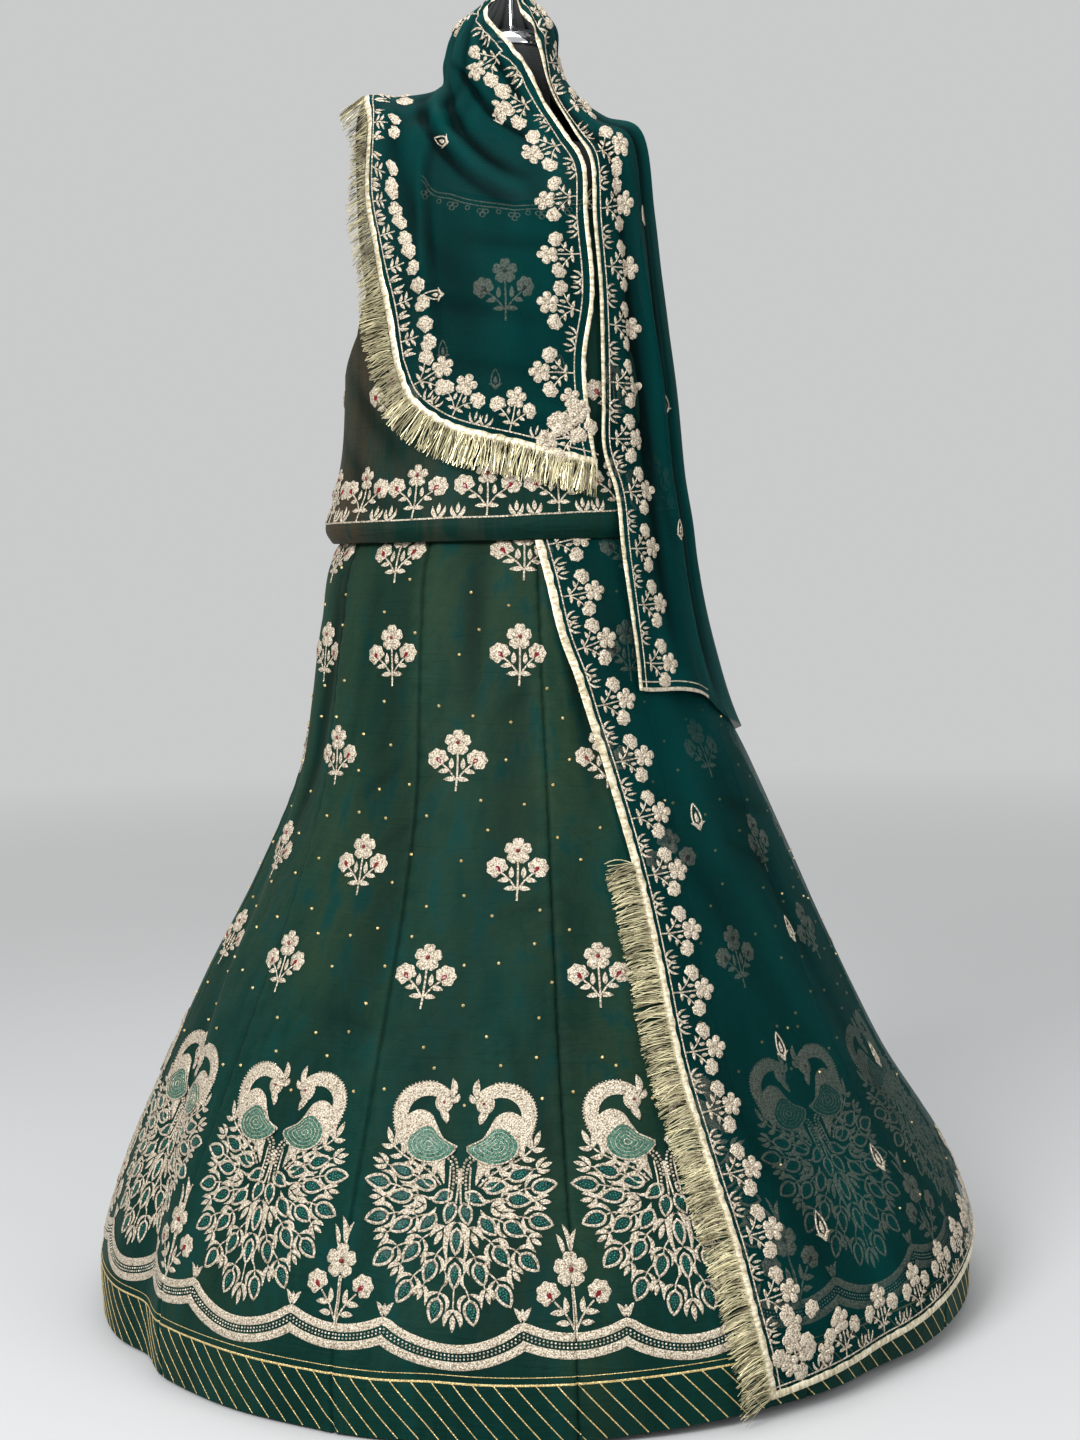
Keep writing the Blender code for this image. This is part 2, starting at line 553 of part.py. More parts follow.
def main():
    for old in list(bpy.data.objects):
        bpy.data.objects.remove(old, do_unlink=True)
    green_silk = material("shot silk, dark green", (0.013, 0.065, 0.043), 0.42)
    kurti_silk = material("shot silk, olive green", (0.025, 0.058, 0.040), 0.42)
    plain_green = material("plain green cotton", (0.010, 0.050, 0.035), 0.8)
    net = material("teal georgette", (0.000, 0.070, 0.062), 0.55)
    gold = material("gota piping", (0.75, 0.62, 0.34), 0.35, 0.8)
    kiran = material("kiran fringe", (0.60, 0.52, 0.27), 0.3, 0.9)
    dark = material("black cloth on the form", (0.012, 0.012, 0.013), 0.7)
    chrome = material("chrome", (0.80, 0.80, 0.80), 0.12, 1.0)
    painted = material("painted steel", (0.03, 0.03, 0.03), 0.4, 0.5)
    make_form(dark, chrome, painted)
    make_lehenga(green_silk, plain_green)
    make_kurti(kurti_silk)
    make_odhni(net, gold, kiran)


main()
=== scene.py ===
# %% [markdown]
# # A rajputi poshak on a dress form
# The set is a flared lehenga of thirteen panels, a sleeveless kurti and a sheer odhni, all worked with
# metal thread. The solids of the part are loaded first and stay where they are. Every cloth is then made
# again as a fine shell on the same curved surfaces, because a shell can carry the creases, the weave and
# the embroidery.

import math

import bpy
import numpy as np
from mathutils import Matrix, Vector


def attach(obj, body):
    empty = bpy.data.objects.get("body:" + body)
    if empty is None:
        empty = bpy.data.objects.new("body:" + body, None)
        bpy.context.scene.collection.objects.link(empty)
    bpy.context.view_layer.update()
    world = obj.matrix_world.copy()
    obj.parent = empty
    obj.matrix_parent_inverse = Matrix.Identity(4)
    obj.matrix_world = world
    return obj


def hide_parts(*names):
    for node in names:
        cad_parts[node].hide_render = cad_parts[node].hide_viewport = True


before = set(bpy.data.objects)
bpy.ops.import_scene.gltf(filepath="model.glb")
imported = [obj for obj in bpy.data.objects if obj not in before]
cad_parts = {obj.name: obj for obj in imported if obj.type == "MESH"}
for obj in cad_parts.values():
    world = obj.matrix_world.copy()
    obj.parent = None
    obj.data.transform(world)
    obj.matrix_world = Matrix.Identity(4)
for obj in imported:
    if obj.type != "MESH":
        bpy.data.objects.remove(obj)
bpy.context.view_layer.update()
print("solids:", len(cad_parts))

# %% [markdown]
# ## The four surfaces
# A garment on a form is close to a stack of ovals. Each surface below is a short table of half-widths and
# half-depths at rising levels, read through a smooth curve. A point has a turn, in degrees round the axis
# from the front towards +X, and a level, close to its height. Everything sewn on a cloth is placed in turns
# and levels, so that it lies on the cloth wherever the cloth goes.

# %% Sizes of the surfaces
KALIS = 13
FIRST_SEAM = 4.5  # turn of the seam nearest the front
TOP_SPREAD = 14.0  # degrees by which the seams at the sides open out towards the waist
SEAMS_OPEN = (0.35, 0.90)  # levels between which they do
SKIRT_REACH, MANTLE_REACH = 0.4, 0.2  # usual radius, by which a fold's depth becomes a share
VEIL_LIFT, BACK_LIFT = 0.0075, 0.010  # how far the odhni stands off the skirt
VEIL_JOIN = (0.56, 0.64)  # levels over which it passes from the skirt's form to its own
SHOULDER_TILT, TILTED = 0.13, (1.20, 1.38)
BUST = 1.25
SEAT = 0.0056  # how far the form lies inside the kurti
SIDE_SEAM = 100.0  # turn at which the odhni's stretches meet at the right
RIDGE = 89.9  # turn of the shoulder line
VEIL_TOP = 1.562
KURTI_HEM = 0.905
SKIRT = (
    ("level", "left", "right", "front", "back"),
    (0.000, 0.530, 0.528, 0.542, 0.462),
    (0.070, 0.530, 0.527, 0.540, 0.460),
    (0.150, 0.506, 0.500, 0.513, 0.437),
    (0.280, 0.448, 0.422, 0.448, 0.388),
    (0.390, 0.396, 0.370, 0.392, 0.342),
    (0.510, 0.331, 0.318, 0.328, 0.296),
    (0.640, 0.275, 0.262, 0.266, 0.246),
    (0.720, 0.259, 0.224, 0.236, 0.218),
    (0.810, 0.244, 0.200, 0.206, 0.192),
    (0.900, 0.220, 0.180, 0.166, 0.156),
    (0.955, 0.166, 0.152, 0.132, 0.128),
    (0.997, 0.1265, 0.1265, 0.0925, 0.0965),
)
KURTI = (
    ("level", "left", "right", "front", "back"),
    (0.905, 0.230, 0.189, 0.174, 0.162),
    (0.915, 0.236, 0.194, 0.180, 0.167),
    (0.950, 0.228, 0.190, 0.170, 0.158),
    (1.000, 0.217, 0.184, 0.157, 0.145),
    (1.080, 0.211, 0.177, 0.147, 0.129),
    (1.180, 0.207, 0.168, 0.142, 0.118),
    (1.240, 0.197, 0.162, 0.132, 0.112),
    (1.300, 0.186, 0.156, 0.102, 0.098),
    (1.360, 0.176, 0.152, 0.062, 0.068),
    (1.390, 0.170, 0.148, 0.030, 0.034),
    (1.405, 0.165, 0.145, 0.003, 0.003),
)
TORSO = (
    ("level", "left", "right", "front", "back"),
    (0.800, 0.148, 0.148, 0.098, 0.112),
    (0.860, 0.156, 0.156, 0.104, 0.118),
    (0.930, 0.146, 0.146, 0.097, 0.108),
    (1.020, 0.120, 0.120, 0.088, 0.090),
    (1.100, 0.130, 0.130, 0.102, 0.090),
    (1.200, 0.148, 0.146, 0.124, 0.098),
    (1.250, 0.154, 0.146, 0.113, 0.098),
)
NO_RISE = (0.0, 0.0, 0.0, 0.0)
MANTLE = (
    ("level", "left", "right", "front", "back", "rise_left", "rise_right", "rise_front", "rise_back"),
    (0.640, 0.283, 0.270, 0.274, 0.264, *NO_RISE),
    (0.700, 0.270, 0.244, 0.254, 0.244, *NO_RISE),
    (0.770, 0.262, 0.224, 0.234, 0.224, *NO_RISE),
    (0.876, 0.250, 0.206, 0.200, 0.194, *NO_RISE),
    (0.920, 0.246, 0.202, 0.189, 0.177, *NO_RISE),
    (0.972, 0.234, 0.194, 0.175, 0.162, *NO_RISE),
    (1.080, 0.222, 0.184, 0.156, 0.138, *NO_RISE),
    (1.164, 0.214, 0.175, 0.150, 0.128, *NO_RISE),
    (1.220, 0.206, 0.169, 0.146, 0.124, 0.010, 0.005, 0.000, 0.000),
    (1.260, 0.200, 0.163, 0.136, 0.121, 0.055, 0.030, -0.005, 0.002),
    (1.320, 0.180, 0.150, 0.122, 0.112, 0.108, 0.066, -0.012, 0.012),
    (1.370, 0.136, 0.109, 0.102, 0.098, 0.062, 0.034, -0.012, 0.020),
    (1.420, 0.088, 0.072, 0.078, 0.084, 0.022, 0.018, -0.010, 0.014),
    (1.475, 0.080, 0.054, 0.066, 0.074, 0.002, 0.000, 0.000, 0.000),
    (1.510, 0.067, 0.052, 0.054, 0.062, *NO_RISE),
    (1.545, 0.027, 0.024, 0.026, 0.028, *NO_RISE),
    (1.572, 0.011, 0.011, 0.011, 0.011, *NO_RISE),
)
FOLD = ("turn_top", "turn_low", "depth", "spread")
SKIRT_FOLDS = (
    FOLD,
    (-17.0, -12.0, 0.004, 4.0),
    (-92.0, -58.0, 0.012, 5.0),
    (52.0, 44.0, 0.006, 6.0),
    (128.0, 118.0, 0.009, 6.0),
    (176.0, 172.0, 0.008, 6.0),
    (221.0, 232.0, 0.010, 6.0),
)
VEIL_FOLDS = (
    FOLD,
    (62.0, 56.0, 0.005, 6.0),
    (92.0, 84.0, 0.006, 6.0),
    (124.0, 116.0, 0.009, 7.0),
    (150.0, 142.0, 0.010, 7.0),
    (181.0, 170.0, 0.010, 8.0),
    (212.0, 196.0, 0.008, 7.0),
)
print("rows of the skirt's table:", len(SKIRT) - 1)

# %% [markdown]
# The edges of the cut cloths are rows of turn and level too: necklines and armholes of the kurti, and the
# borders along which the odhni's piping, fringe and flowers run.

# %% Edges
SHOULDER = 1.405
NECKLINE_FRONT = (
    (0, 1.292), (22, 1.303), (34, 1.320), (38, 1.344), (39.2, 1.372), (40.2, 1.392), (41, SHOULDER),
)
NECKLINE_BACK = (
    (0, 1.345), (22, 1.350), (34, 1.360), (38, 1.374), (39.2, 1.384), (40.2, 1.395), (41, SHOULDER),
)
ARMHOLE = (
    (56, SHOULDER), (56.2, 1.393), (56.5, 1.370), (56.8, 1.335), (57.4, 1.270), (59, 1.190), (64, 1.148),
    (71, 1.128), (79, 1.107), (90, 1.096),
)
INNER_EDGE = (
    (-54, 1.560), (-30, 1.520), (-9, 1.492), (2, 1.474), (20, 1.450), (31, 1.404), (34, 1.356), (31, 1.284),
    (30, 1.176), (25, 1.108), (25, 1.040), (27, 0.988),
)
FRINGE_EDGE = (
    (-RIDGE, 1.330), (-76, 1.322), (-64, 1.302), (-61, 1.268), (-53, 1.232), (-46, 1.184), (-40, 1.110),
)
CHEST_EDGE = ((-40, 1.110), (-34, 1.068), (-24, 1.040), (0, 1.012), (27, 0.988))
RIGHT_EDGE = (
    (4, 1.560), (22, 1.510), (30, 1.496), (37, 1.478), (40, 1.440), (42, 1.404), (39.5, 1.356), (35, 1.292),
    (33.5, 1.176), (31.5, 1.060), (30.5, 1.008), (34, 0.960), (34, 0.908), (35, 0.812), (35, 0.776),
    (34, 0.732),
)
SWAG_FOLD = ((34, 0.732), (60, 0.720), (76, 0.686), (SIDE_SEAM, 0.662))
SLANT_EDGE = (
    (4, 0.925), (8.5, 0.856), (12, 0.792), (15.5, 0.750), (18, 0.700), (20.5, 0.624), (22.5, 0.532),
    (23, 0.448), (23, 0.352), (24, 0.272), (24.5, 0.188), (25, 0.112), (26.5, 0.026),
)
FLOOR_EDGE = ((26.5, 0.026), (35, 0.034), (47.5, 0.044), (60, 0.056), (74, 0.072), (SIDE_SEAM, 0.105))
BACK_EDGE = (
    (SIDE_SEAM, 0.105), (120, 0.200), (150, 0.450), (180, 0.720), (215, 1.000), (245, 1.220),
    (180 + RIDGE, 1.330),
)
print("points on the slanting edge:", len(SLANT_EDGE))


# %% Reading the tables
def columns(rows):
    """A table as a dictionary of arrays, under the names of its first row."""
    return {name: np.array([row[i] for row in rows[1:]], float) for i, name in enumerate(rows[0])}


SKIRT, KURTI, TORSO, MANTLE, SKIRT_FOLDS, VEIL_FOLDS = map(
    columns, (SKIRT, KURTI, TORSO, MANTLE, SKIRT_FOLDS, VEIL_FOLDS)
)


def smooth_through(known, values, at):
    """A smooth curve through values at the rising positions known."""
    at = np.clip(np.asarray(at, float), known[0], known[-1])
    slope = np.gradient(values, known)
    i = np.clip(np.searchsorted(known, at, side="right") - 1, 0, len(known) - 2)
    width = known[i + 1] - known[i]
    t = (at - known[i]) / width
    return (
        values[i] * (2 * t**3 - 3 * t**2 + 1)
        + slope[i] * width * (t**3 - 2 * t**2 + t)
        + values[i + 1] * (3 * t**2 - 2 * t**3)
        + slope[i + 1] * width * (t**3 - t**2)
    )


def ease(low, high, at):
    """0 below low, 1 above high, and smooth between."""
    t = np.clip((np.asarray(at, float) - low) / (high - low), 0, 1)
    return t * t * (3 - 2 * t)


print("half-width of the hem:", smooth_through(SKIRT["level"], SKIRT["right"], 0.05).round(3))


# %% The plain surfaces
def ring(table, turn, level, inset=0.0):
    """x and y on the oval that a table gives at a level."""
    sine, cosine = np.sin(np.radians(turn)), np.cos(np.radians(turn))
    at = lambda name: smooth_through(table["level"], table[name], level) - inset
    across = np.where(sine < 0, at("left"), at("right"))
    deep = np.where(cosine > 0, at("front"), at("back"))
    return across * sine, -deep * cosine


def trough(folds, turn, level, low, high):
    """Depth of the large folds at a point, from level low up to high."""
    total = 0.0
    for top, bottom, depth, spread in zip(*(folds[name] for name in FOLD)):
        middle = bottom + (top - bottom) * np.clip((level - low) / (high - low), 0, 1)
        away = (np.asarray(turn) - middle + 180) % 360 - 180
        total = total + depth * np.exp(-((away / spread) ** 2))
    return total


def lean(x, level):
    """How far the shoulders' tilt lifts a point."""
    return -SHOULDER_TILT * x * ease(*TILTED, level)


def skirt_point(turn, level):
    x, y = ring(SKIRT, turn, level)
    sunk = 1 - trough(SKIRT_FOLDS, turn, level, 0.1, 0.9) * ease(0.95, 0.70, level) / SKIRT_REACH
    return np.stack([x * sunk, y * sunk, level + 0 * x], -1)


def kurti_point(turn, level):
    x, y = ring(KURTI, turn, level)
    return np.stack([x, y, level + lean(x, level)], -1)


def torso_point(turn, level):
    """The form: its own ovals up to the bust, and just inside the kurti above it."""
    x, y = ring(TORSO, turn, np.minimum(level, BUST))
    upper_x, upper_y = ring(KURTI, turn, np.maximum(level, BUST), SEAT)
    share = ease(BUST - 0.01, BUST + 0.05, level)
    x, y = x + (upper_x - x) * share, y + (upper_y - y) * share
    return np.stack([x, y, level + lean(x, level)], -1)


def veil_low_point(turn, level):
    """The odhni where it lies on the skirt."""
    point = skirt_point(turn, level)
    across = np.linalg.norm(point[..., :2], axis=-1, keepdims=True)
    lift = VEIL_LIFT + BACK_LIFT * ease(SIDE_SEAM, SIDE_SEAM + 20, turn)[..., None]
    return point * np.concatenate([1 + lift / across] * 2 + [np.ones_like(across)], -1)


def mantle_point(turn, level):
    """The odhni from its top down to the hips."""
    sine, cosine = np.sin(np.radians(turn)), np.cos(np.radians(turn))
    x, y = ring(MANTLE, turn, level)
    at = lambda name: smooth_through(MANTLE["level"], MANTLE[name], level)
    rise = np.where(sine < 0, at("rise_left"), at("rise_right")) * sine**2
    rise = rise + np.where(cosine > 0, at("rise_front"), at("rise_back")) * cosine**2
    stands = 1 + trough(VEIL_FOLDS, turn, level, 0.6, 1.4) * ease(1.40, 1.15, level) / MANTLE_REACH
    high = np.stack([x * stands, y * stands, level + rise], -1)
    low = veil_low_point(turn, level)
    return low + (high - low) * ease(*VEIL_JOIN, level)[..., None]


def outward(surface, turn, level):
    """The surface's normal."""
    small_turn, small_level = 0.2, 0.0015
    along_it = surface(turn + small_turn, level) - surface(turn - small_turn, level)
    up = surface(turn, level + small_level) - surface(turn, level - small_level)
    normal = np.cross(along_it, up)
    return normal / np.linalg.norm(normal, axis=-1, keepdims=True)


def kali_turn(turn, level):
    """Where a turn of the hem lies higher up, as the seams at the sides open out towards the waist."""
    return turn + TOP_SPREAD * np.sin(np.radians(turn)) * ease(*SEAMS_OPEN, level)


print("a point of the skirt:", skirt_point(np.array(0.0), np.array(0.3)).round(3))


# %% [markdown]
# ## Creases
# Silk on a form isn't smooth: it pulls towards the waist, sinks at its seams and breaks where it meets the
# floor. Each crease is a line between two points of the surface, with a depth and a width, and fades at its
# ends. A negative depth is a ridge. They were placed by looking at the photo, and similar ones were put
# where the photo doesn't show the cloth. A faint ripple of a few sines keeps the panels between them alive.

# %% Creases as soft lines
CREASE = ("turn_a", "level_a", "turn_b", "level_b", "depth", "width")
SKIRT_CREASES = (
    CREASE,
    (-12, 0.90, -14, 0.70, 0.003, 0.010),
    (-62, 0.90, -70, 0.45, 0.005, 0.016),
    (-78, 0.86, -62, 0.30, -0.004, 0.022),
    (-55, 0.24, -62, 0.16, 0.006, 0.010),
    (-30, 0.66, -42, 0.62, 0.0016, 0.008),
    (-24, 0.60, -36, 0.56, 0.0014, 0.007),
    (2, 0.74, -9, 0.70, 0.0014, 0.008),
    (8, 0.52, -6, 0.50, 0.0012, 0.007),
    (14, 0.86, 17, 0.62, 0.003, 0.012),
    (-46, 0.86, -50, 0.60, 0.0024, 0.012),
    (-20, 0.075, -4, 0.072, 0.0016, 0.012),
    (-38, 0.40, -20, 0.385, 0.0014, 0.010),
    (-5, 0.41, 4, 0.26, 0.0014, 0.010),
    (28, 0.60, 40, 0.18, 0.003, 0.020),
    (66, 0.78, 60, 0.20, 0.004, 0.024),
    (92, 0.70, 88, 0.12, -0.0035, 0.024),
    (110, 0.86, 106, 0.30, 0.005, 0.020),
    (138, 0.80, 134, 0.15, 0.005, 0.024),
    (156, 0.86, 158, 0.50, 0.004, 0.016),
    (188, 0.84, 192, 0.30, 0.0045, 0.020),
    (206, 0.70, 212, 0.18, -0.0035, 0.022),
    (244, 0.86, 250, 0.35, 0.0055, 0.020),
    (262, 0.60, 268, 0.15, 0.004, 0.024),
    (150, 0.30, 164, 0.27, 0.0016, 0.010),
    (222, 0.42, 238, 0.38, 0.0016, 0.010),
)
KURTI_CREASES = (
    CREASE,
    (-70, 1.10, -40, 1.00, 0.004, 0.014),
    (-78, 1.03, -50, 0.96, 0.0035, 0.012),
    (-62, 1.14, -38, 1.06, 0.003, 0.012),
    (-30, 1.02, -5, 0.99, 0.002, 0.012),
    (6, 1.04, 34, 0.985, 0.0022, 0.012),
    (-72, 0.985, -30, 0.925, 0.002, 0.010),
    (-16, 1.21, 14, 1.215, 0.002, 0.014),
    (30, 1.20, 60, 1.10, 0.003, 0.014),
    (70, 1.08, 44, 0.98, 0.003, 0.014),
    (118, 1.12, 150, 1.02, 0.003, 0.014),
    (160, 1.20, 158, 1.00, 0.0025, 0.014),
    (200, 1.22, 206, 0.98, 0.003, 0.014),
    (240, 1.10, 212, 1.00, 0.003, 0.014),
)
MANTLE_CREASES = (
    CREASE,
    (-66, 1.430, 6, 1.330, 0.0065, 0.008),
    (-72, 1.400, 2, 1.295, 0.0055, 0.009),
    (-60, 1.460, 16, 1.372, 0.006, 0.007),
    (-34, 1.500, 22, 1.400, 0.005, 0.007),
    (-70, 1.415, 4, 1.312, -0.0045, 0.007),
    (-37, 1.340, -27, 1.120, -0.0035, 0.005),
    (-33.5, 1.340, -24, 1.130, 0.003, 0.004),
    (-70, 1.390, -20, 1.200, 0.003, 0.014),
    (-18, 1.250, 22, 1.235, 0.0028, 0.012),
    (-34, 1.180, 12, 1.150, 0.0022, 0.012),
    (-28, 1.110, 18, 1.085, 0.002, 0.010),
    (-12, 1.060, 22, 1.045, -0.0015, 0.009),
    (48, 1.440, 52, 0.760, 0.006, 0.009),
    (56, 1.400, 66, 0.720, -0.005, 0.010),
    (70, 1.400, 74, 0.720, 0.007, 0.011),
    (82, 1.380, 80, 0.680, -0.005, 0.010),
    (96, 1.360, 92, 0.700, 0.006, 0.012),
    (45, 1.180, 58, 0.900, 0.004, 0.008),
    (112, 1.420, 104, 0.560, 0.007, 0.014),
    (136, 1.400, 128, 0.400, 0.008, 0.016),
    (164, 1.420, 158, 0.640, 0.007, 0.016),
    (192, 1.420, 186, 0.800, 0.007, 0.014),
    (226, 1.400, 212, 1.000, 0.006, 0.014),
    (250, 1.380, 236, 1.180, 0.005, 0.012),
)
VEIL_CREASES = (
    CREASE,
    (26, 0.700, 44, 0.420, 0.0022, 0.012),
    (40, 0.660, 58, 0.300, -0.003, 0.018),
    (56, 0.640, 66, 0.240, 0.0026, 0.014),
    (48, 0.560, 62, 0.520, 0.002, 0.008),
    (52, 0.600, 72, 0.575, 0.0022, 0.008),
    (72, 0.620, 84, 0.160, -0.003, 0.020),
    (30, 0.360, 38, 0.100, 0.002, 0.014),
    (44, 0.260, 48, 0.060, -0.0025, 0.018),
    (84, 0.560, 96, 0.200, 0.0026, 0.014),
    (112, 0.560, 110, 0.200, 0.005, 0.018),
)
SKIRT_CREASES, KURTI_CREASES, MANTLE_CREASES, VEIL_CREASES = map(
    columns, (SKIRT_CREASES, KURTI_CREASES, MANTLE_CREASES, VEIL_CREASES)
)
SLANT = 1.08  # metres of cloth for a metre of level


def crease_depth(creases, radius, turn, level):
    """How deep the creases are at a point. radius turns degrees into metres."""
    metre = np.radians(1.0) * radius
    total = 0.0
    for turn_a, level_a, turn_b, level_b, depth, width in zip(*(creases[name] for name in CREASE)):
        across = ((np.asarray(turn) - turn_a + 180) % 360 - 180) * metre
        up = (np.asarray(level) - level_a) * SLANT
        run_across, run_up = (turn_b - turn_a) * metre, (level_b - level_a) * SLANT
        share = np.clip((across * run_across + up * run_up) / (run_across**2 + run_up**2), 0, 1)
        off = np.hypot(across - share * run_across, up - share * run_up)
        fade = 0.25 + 0.75 * np.sin(np.pi * share) ** 0.6
        total = total + depth * fade * np.exp(-((off / width) ** 2))
    return total


def ripple(turn, level, size, seed):
    """A faint unevenness, the same on both ends of a full turn."""
    dice = np.random.default_rng(seed)
    total, waves = 0.0, 7
    for _ in range(waves):
        around, up = dice.integers(3, 24), dice.uniform(-26, 26)
        total = total + np.sin(np.radians(turn) * around + level * up + dice.uniform(0, 6.3)) / waves
    return total * size * 2


print("creases on the skirt:", len(SKIRT_CREASES["depth"]))


# %% The seams of the kalis
PITCH = 360 / KALIS


def hem_turn_of(turn, level):
    """The turn of the hem from which a point's thread comes down: kali_turn the other way round, in steps."""
    at_hem = turn - TOP_SPREAD * np.sin(np.radians(turn)) * ease(*SEAMS_OPEN, level) * 0.82
    for _ in range(3):
        at_hem = at_hem - (kali_turn(at_hem, level) - turn) * 0.8
    return at_hem


def seam_groove(turn, level):
    """The kalis' seams: a narrow sink at the stitches and a soft swell on each side."""
    at_hem = hem_turn_of(turn, level)
    off = ((at_hem - FIRST_SEAM + PITCH / 2) % PITCH - PITCH / 2) * np.radians(1) * (0.52 - 0.38 * level)
    stitches = 0.0022 * np.exp(-((off / 0.0016) ** 2))
    swell = 0.0007 * np.exp(-(((np.abs(off) - 0.007) / 0.005) ** 2))
    pucker = 0.0005 * np.sin(level * 260 + np.floor(at_hem / PITCH) * 2.1) * np.exp(-((off / 0.012) ** 2))
    return stitches - swell + pucker


print("degrees between seams:", round(PITCH, 2))


# %% The creased surfaces
def skirt_radius(level):
    """About how far the skirt stands from its axis."""
    return 0.53 - 0.42 * level


def creased(surface, depth):
    """The surface with its creases: every point sinks along the normal."""

    def point(turn, level):
        turn, level = np.broadcast_arrays(np.asarray(turn, float), np.asarray(level, float))
        return surface(turn, level) - outward(surface, turn, level) * depth(turn, level)[..., None]

    return point


def skirt_depth(turn, level):
    deep = crease_depth(SKIRT_CREASES, skirt_radius(level), turn, level) + ripple(turn, level, 0.0016, 3)
    return deep * ease(0.99, 0.93, level) + seam_groove(turn, level)


def kurti_depth(turn, level):
    deep = crease_depth(KURTI_CREASES, 0.17, turn, level) + ripple(turn, level, 0.0009, 5)
    return deep * ease(1.36, 1.25, level) * ease(0.905, 0.935, level)


def mantle_depth(turn, level):
    wander = 1.5 * np.sin(np.radians(turn) * 3)
    gathers = 0.0016 * np.sin(np.radians(turn) * 21 + wander) * ease(1.40, 1.52, level)
    deep = crease_depth(MANTLE_CREASES, 0.18, turn, level) + ripple(turn, level, 0.0016, 8)
    return deep * ease(1.555, 1.45, level) + gathers


def veil_low_depth(turn, level):
    deep = crease_depth(VEIL_CREASES, skirt_radius(level), turn, level)
    return deep + ripple(turn, level, 0.0012, 9) * 0.5


skirt_silk = creased(skirt_point, skirt_depth)
kurti_silk = creased(kurti_point, kurti_depth)
mantle_net = creased(mantle_point, mantle_depth)
veil_low_net = creased(veil_low_point, veil_low_depth)


def whole_veil(turn, level):
    """The odhni's creased surface all the way down its back."""
    share = ease(*VEIL_JOIN, level)[..., None]
    return veil_low_net(turn, level) * (1 - share) + mantle_net(turn, level) * share


print("deepest crease at level 0.6:", skirt_depth(np.arange(0.0, 360.0), 0.6).max().round(4))


# %% [markdown]
# Thousands of stitches have to find their place on these surfaces, and the formulas are slow to ask each
# time. So each surface is measured once on a fine grid, and read between the grid's points. The lehenga's
# grid is the mesh's own, counted in turns of the hem, so that its columns run along the kalis.

# %% Surfaces measured on a grid
class Laid:
    """A surface on a grid of turns and levels, read between its points."""

    def __init__(self, surface, turns, levels):
        self.turns, self.levels = turns, levels
        self.points = surface(*np.meshgrid(turns, levels))
        normals = np.cross(np.gradient(self.points, axis=1), np.gradient(self.points, axis=0))
        self.normals = normals / np.linalg.norm(normals, axis=-1, keepdims=True)

    def read(self, values, turn, level):
        behind = (self.turns[0] + self.turns[-1]) / 2 - 180
        turn = (np.asarray(turn, float) - behind) % 360 + behind
        column = np.interp(turn, self.turns, np.arange(len(self.turns)))
        row = np.interp(level, self.levels, np.arange(len(self.levels)))
        i = np.minimum(column.astype(int), len(self.turns) - 2)
        j = np.minimum(row.astype(int), len(self.levels) - 2)
        s, t = (column - i)[..., None], (row - j)[..., None]
        low = values[j, i] * (1 - s) + values[j, i + 1] * s
        high = values[j + 1, i] * (1 - s) + values[j + 1, i + 1] * s
        return low * (1 - t) + high * t

    def __call__(self, turn, level):
        return self.read(self.points, *np.broadcast_arrays(turn, level))

    def normal(self, turn, level):
        return self.read(self.normals, *np.broadcast_arrays(turn, level))


def hem_rise(turn):
    """How much higher the hem ends under the odhni's corner."""
    turn = (np.asarray(turn) + 180) % 360 - 180
    return 0.010 * ease(-5, 30, turn) * ease(150, 100, turn)


def kali_columns():
    """Turns of the hem that crowd together at the seams."""
    near = np.array([0.0, 0.004, 0.010, 0.022, 0.045])
    shares = np.concatenate([near, np.linspace(0.075, 0.925, 27), 1 - near[:0:-1]])
    starts = FIRST_SEAM - 360 + PITCH * np.arange(KALIS)
    return np.append((starts[:, None] + PITCH * shares).ravel(), FIRST_SEAM)


def skirt_from_hem(turn, level):
    """The skirt's silk at a turn of the hem, with the hem's rise."""
    place = skirt_silk(kali_turn(turn, level), level)
    place[..., 2] += hem_rise(turn) * ease(0.1, 0.0, level)
    return place


skirt_rows = np.append([0.0035, 0.0050, 0.0080], np.linspace(0.012, 0.997, 168))
skirt = Laid(skirt_from_hem, kali_columns(), skirt_rows)
kurti = Laid(kurti_silk, np.linspace(-180, 180, 361), np.linspace(0.903, SHOULDER, 202))
shawl = Laid(mantle_net, np.linspace(-91, 101, 385), np.linspace(0.60, 1.566, 387))
lower_veil = Laid(veil_low_net, np.linspace(-4, 101, 211), np.linspace(0.015, 0.930, 367))
back_veil = Laid(whole_veil, np.linspace(99, 271, 230), np.linspace(0.095, 1.566, 490))
print("points measured on the skirt:", skirt.points.shape[:2])


# %% [markdown]
# ## Materials
# Every finish is built from small formulas. A wrapped socket knows how to add, take away and multiply, so
# that the shader maths can be read as ordinary sums, and each sum adds one Math node.

# %% Formulas that build nodes
class Value:
    """A number on its way through a material's nodes."""

    def __init__(self, finish, socket):
        self.finish, self.socket = finish, socket

    def _math(self, operation, first, second=0.0):
        return self.finish.node("ShaderNodeMath", {"operation": operation}, {0: first, 1: second})

    def __add__(self, other):
        return self._math("ADD", self, other)

    def __radd__(self, other):
        return self._math("ADD", other, self)

    def __sub__(self, other):
        return self._math("SUBTRACT", self, other)

    def __rsub__(self, other):
        return self._math("SUBTRACT", other, self)

    def __mul__(self, other):
        return self._math("MULTIPLY", self, other)

    def __rmul__(self, other):
        return self._math("MULTIPLY", other, self)


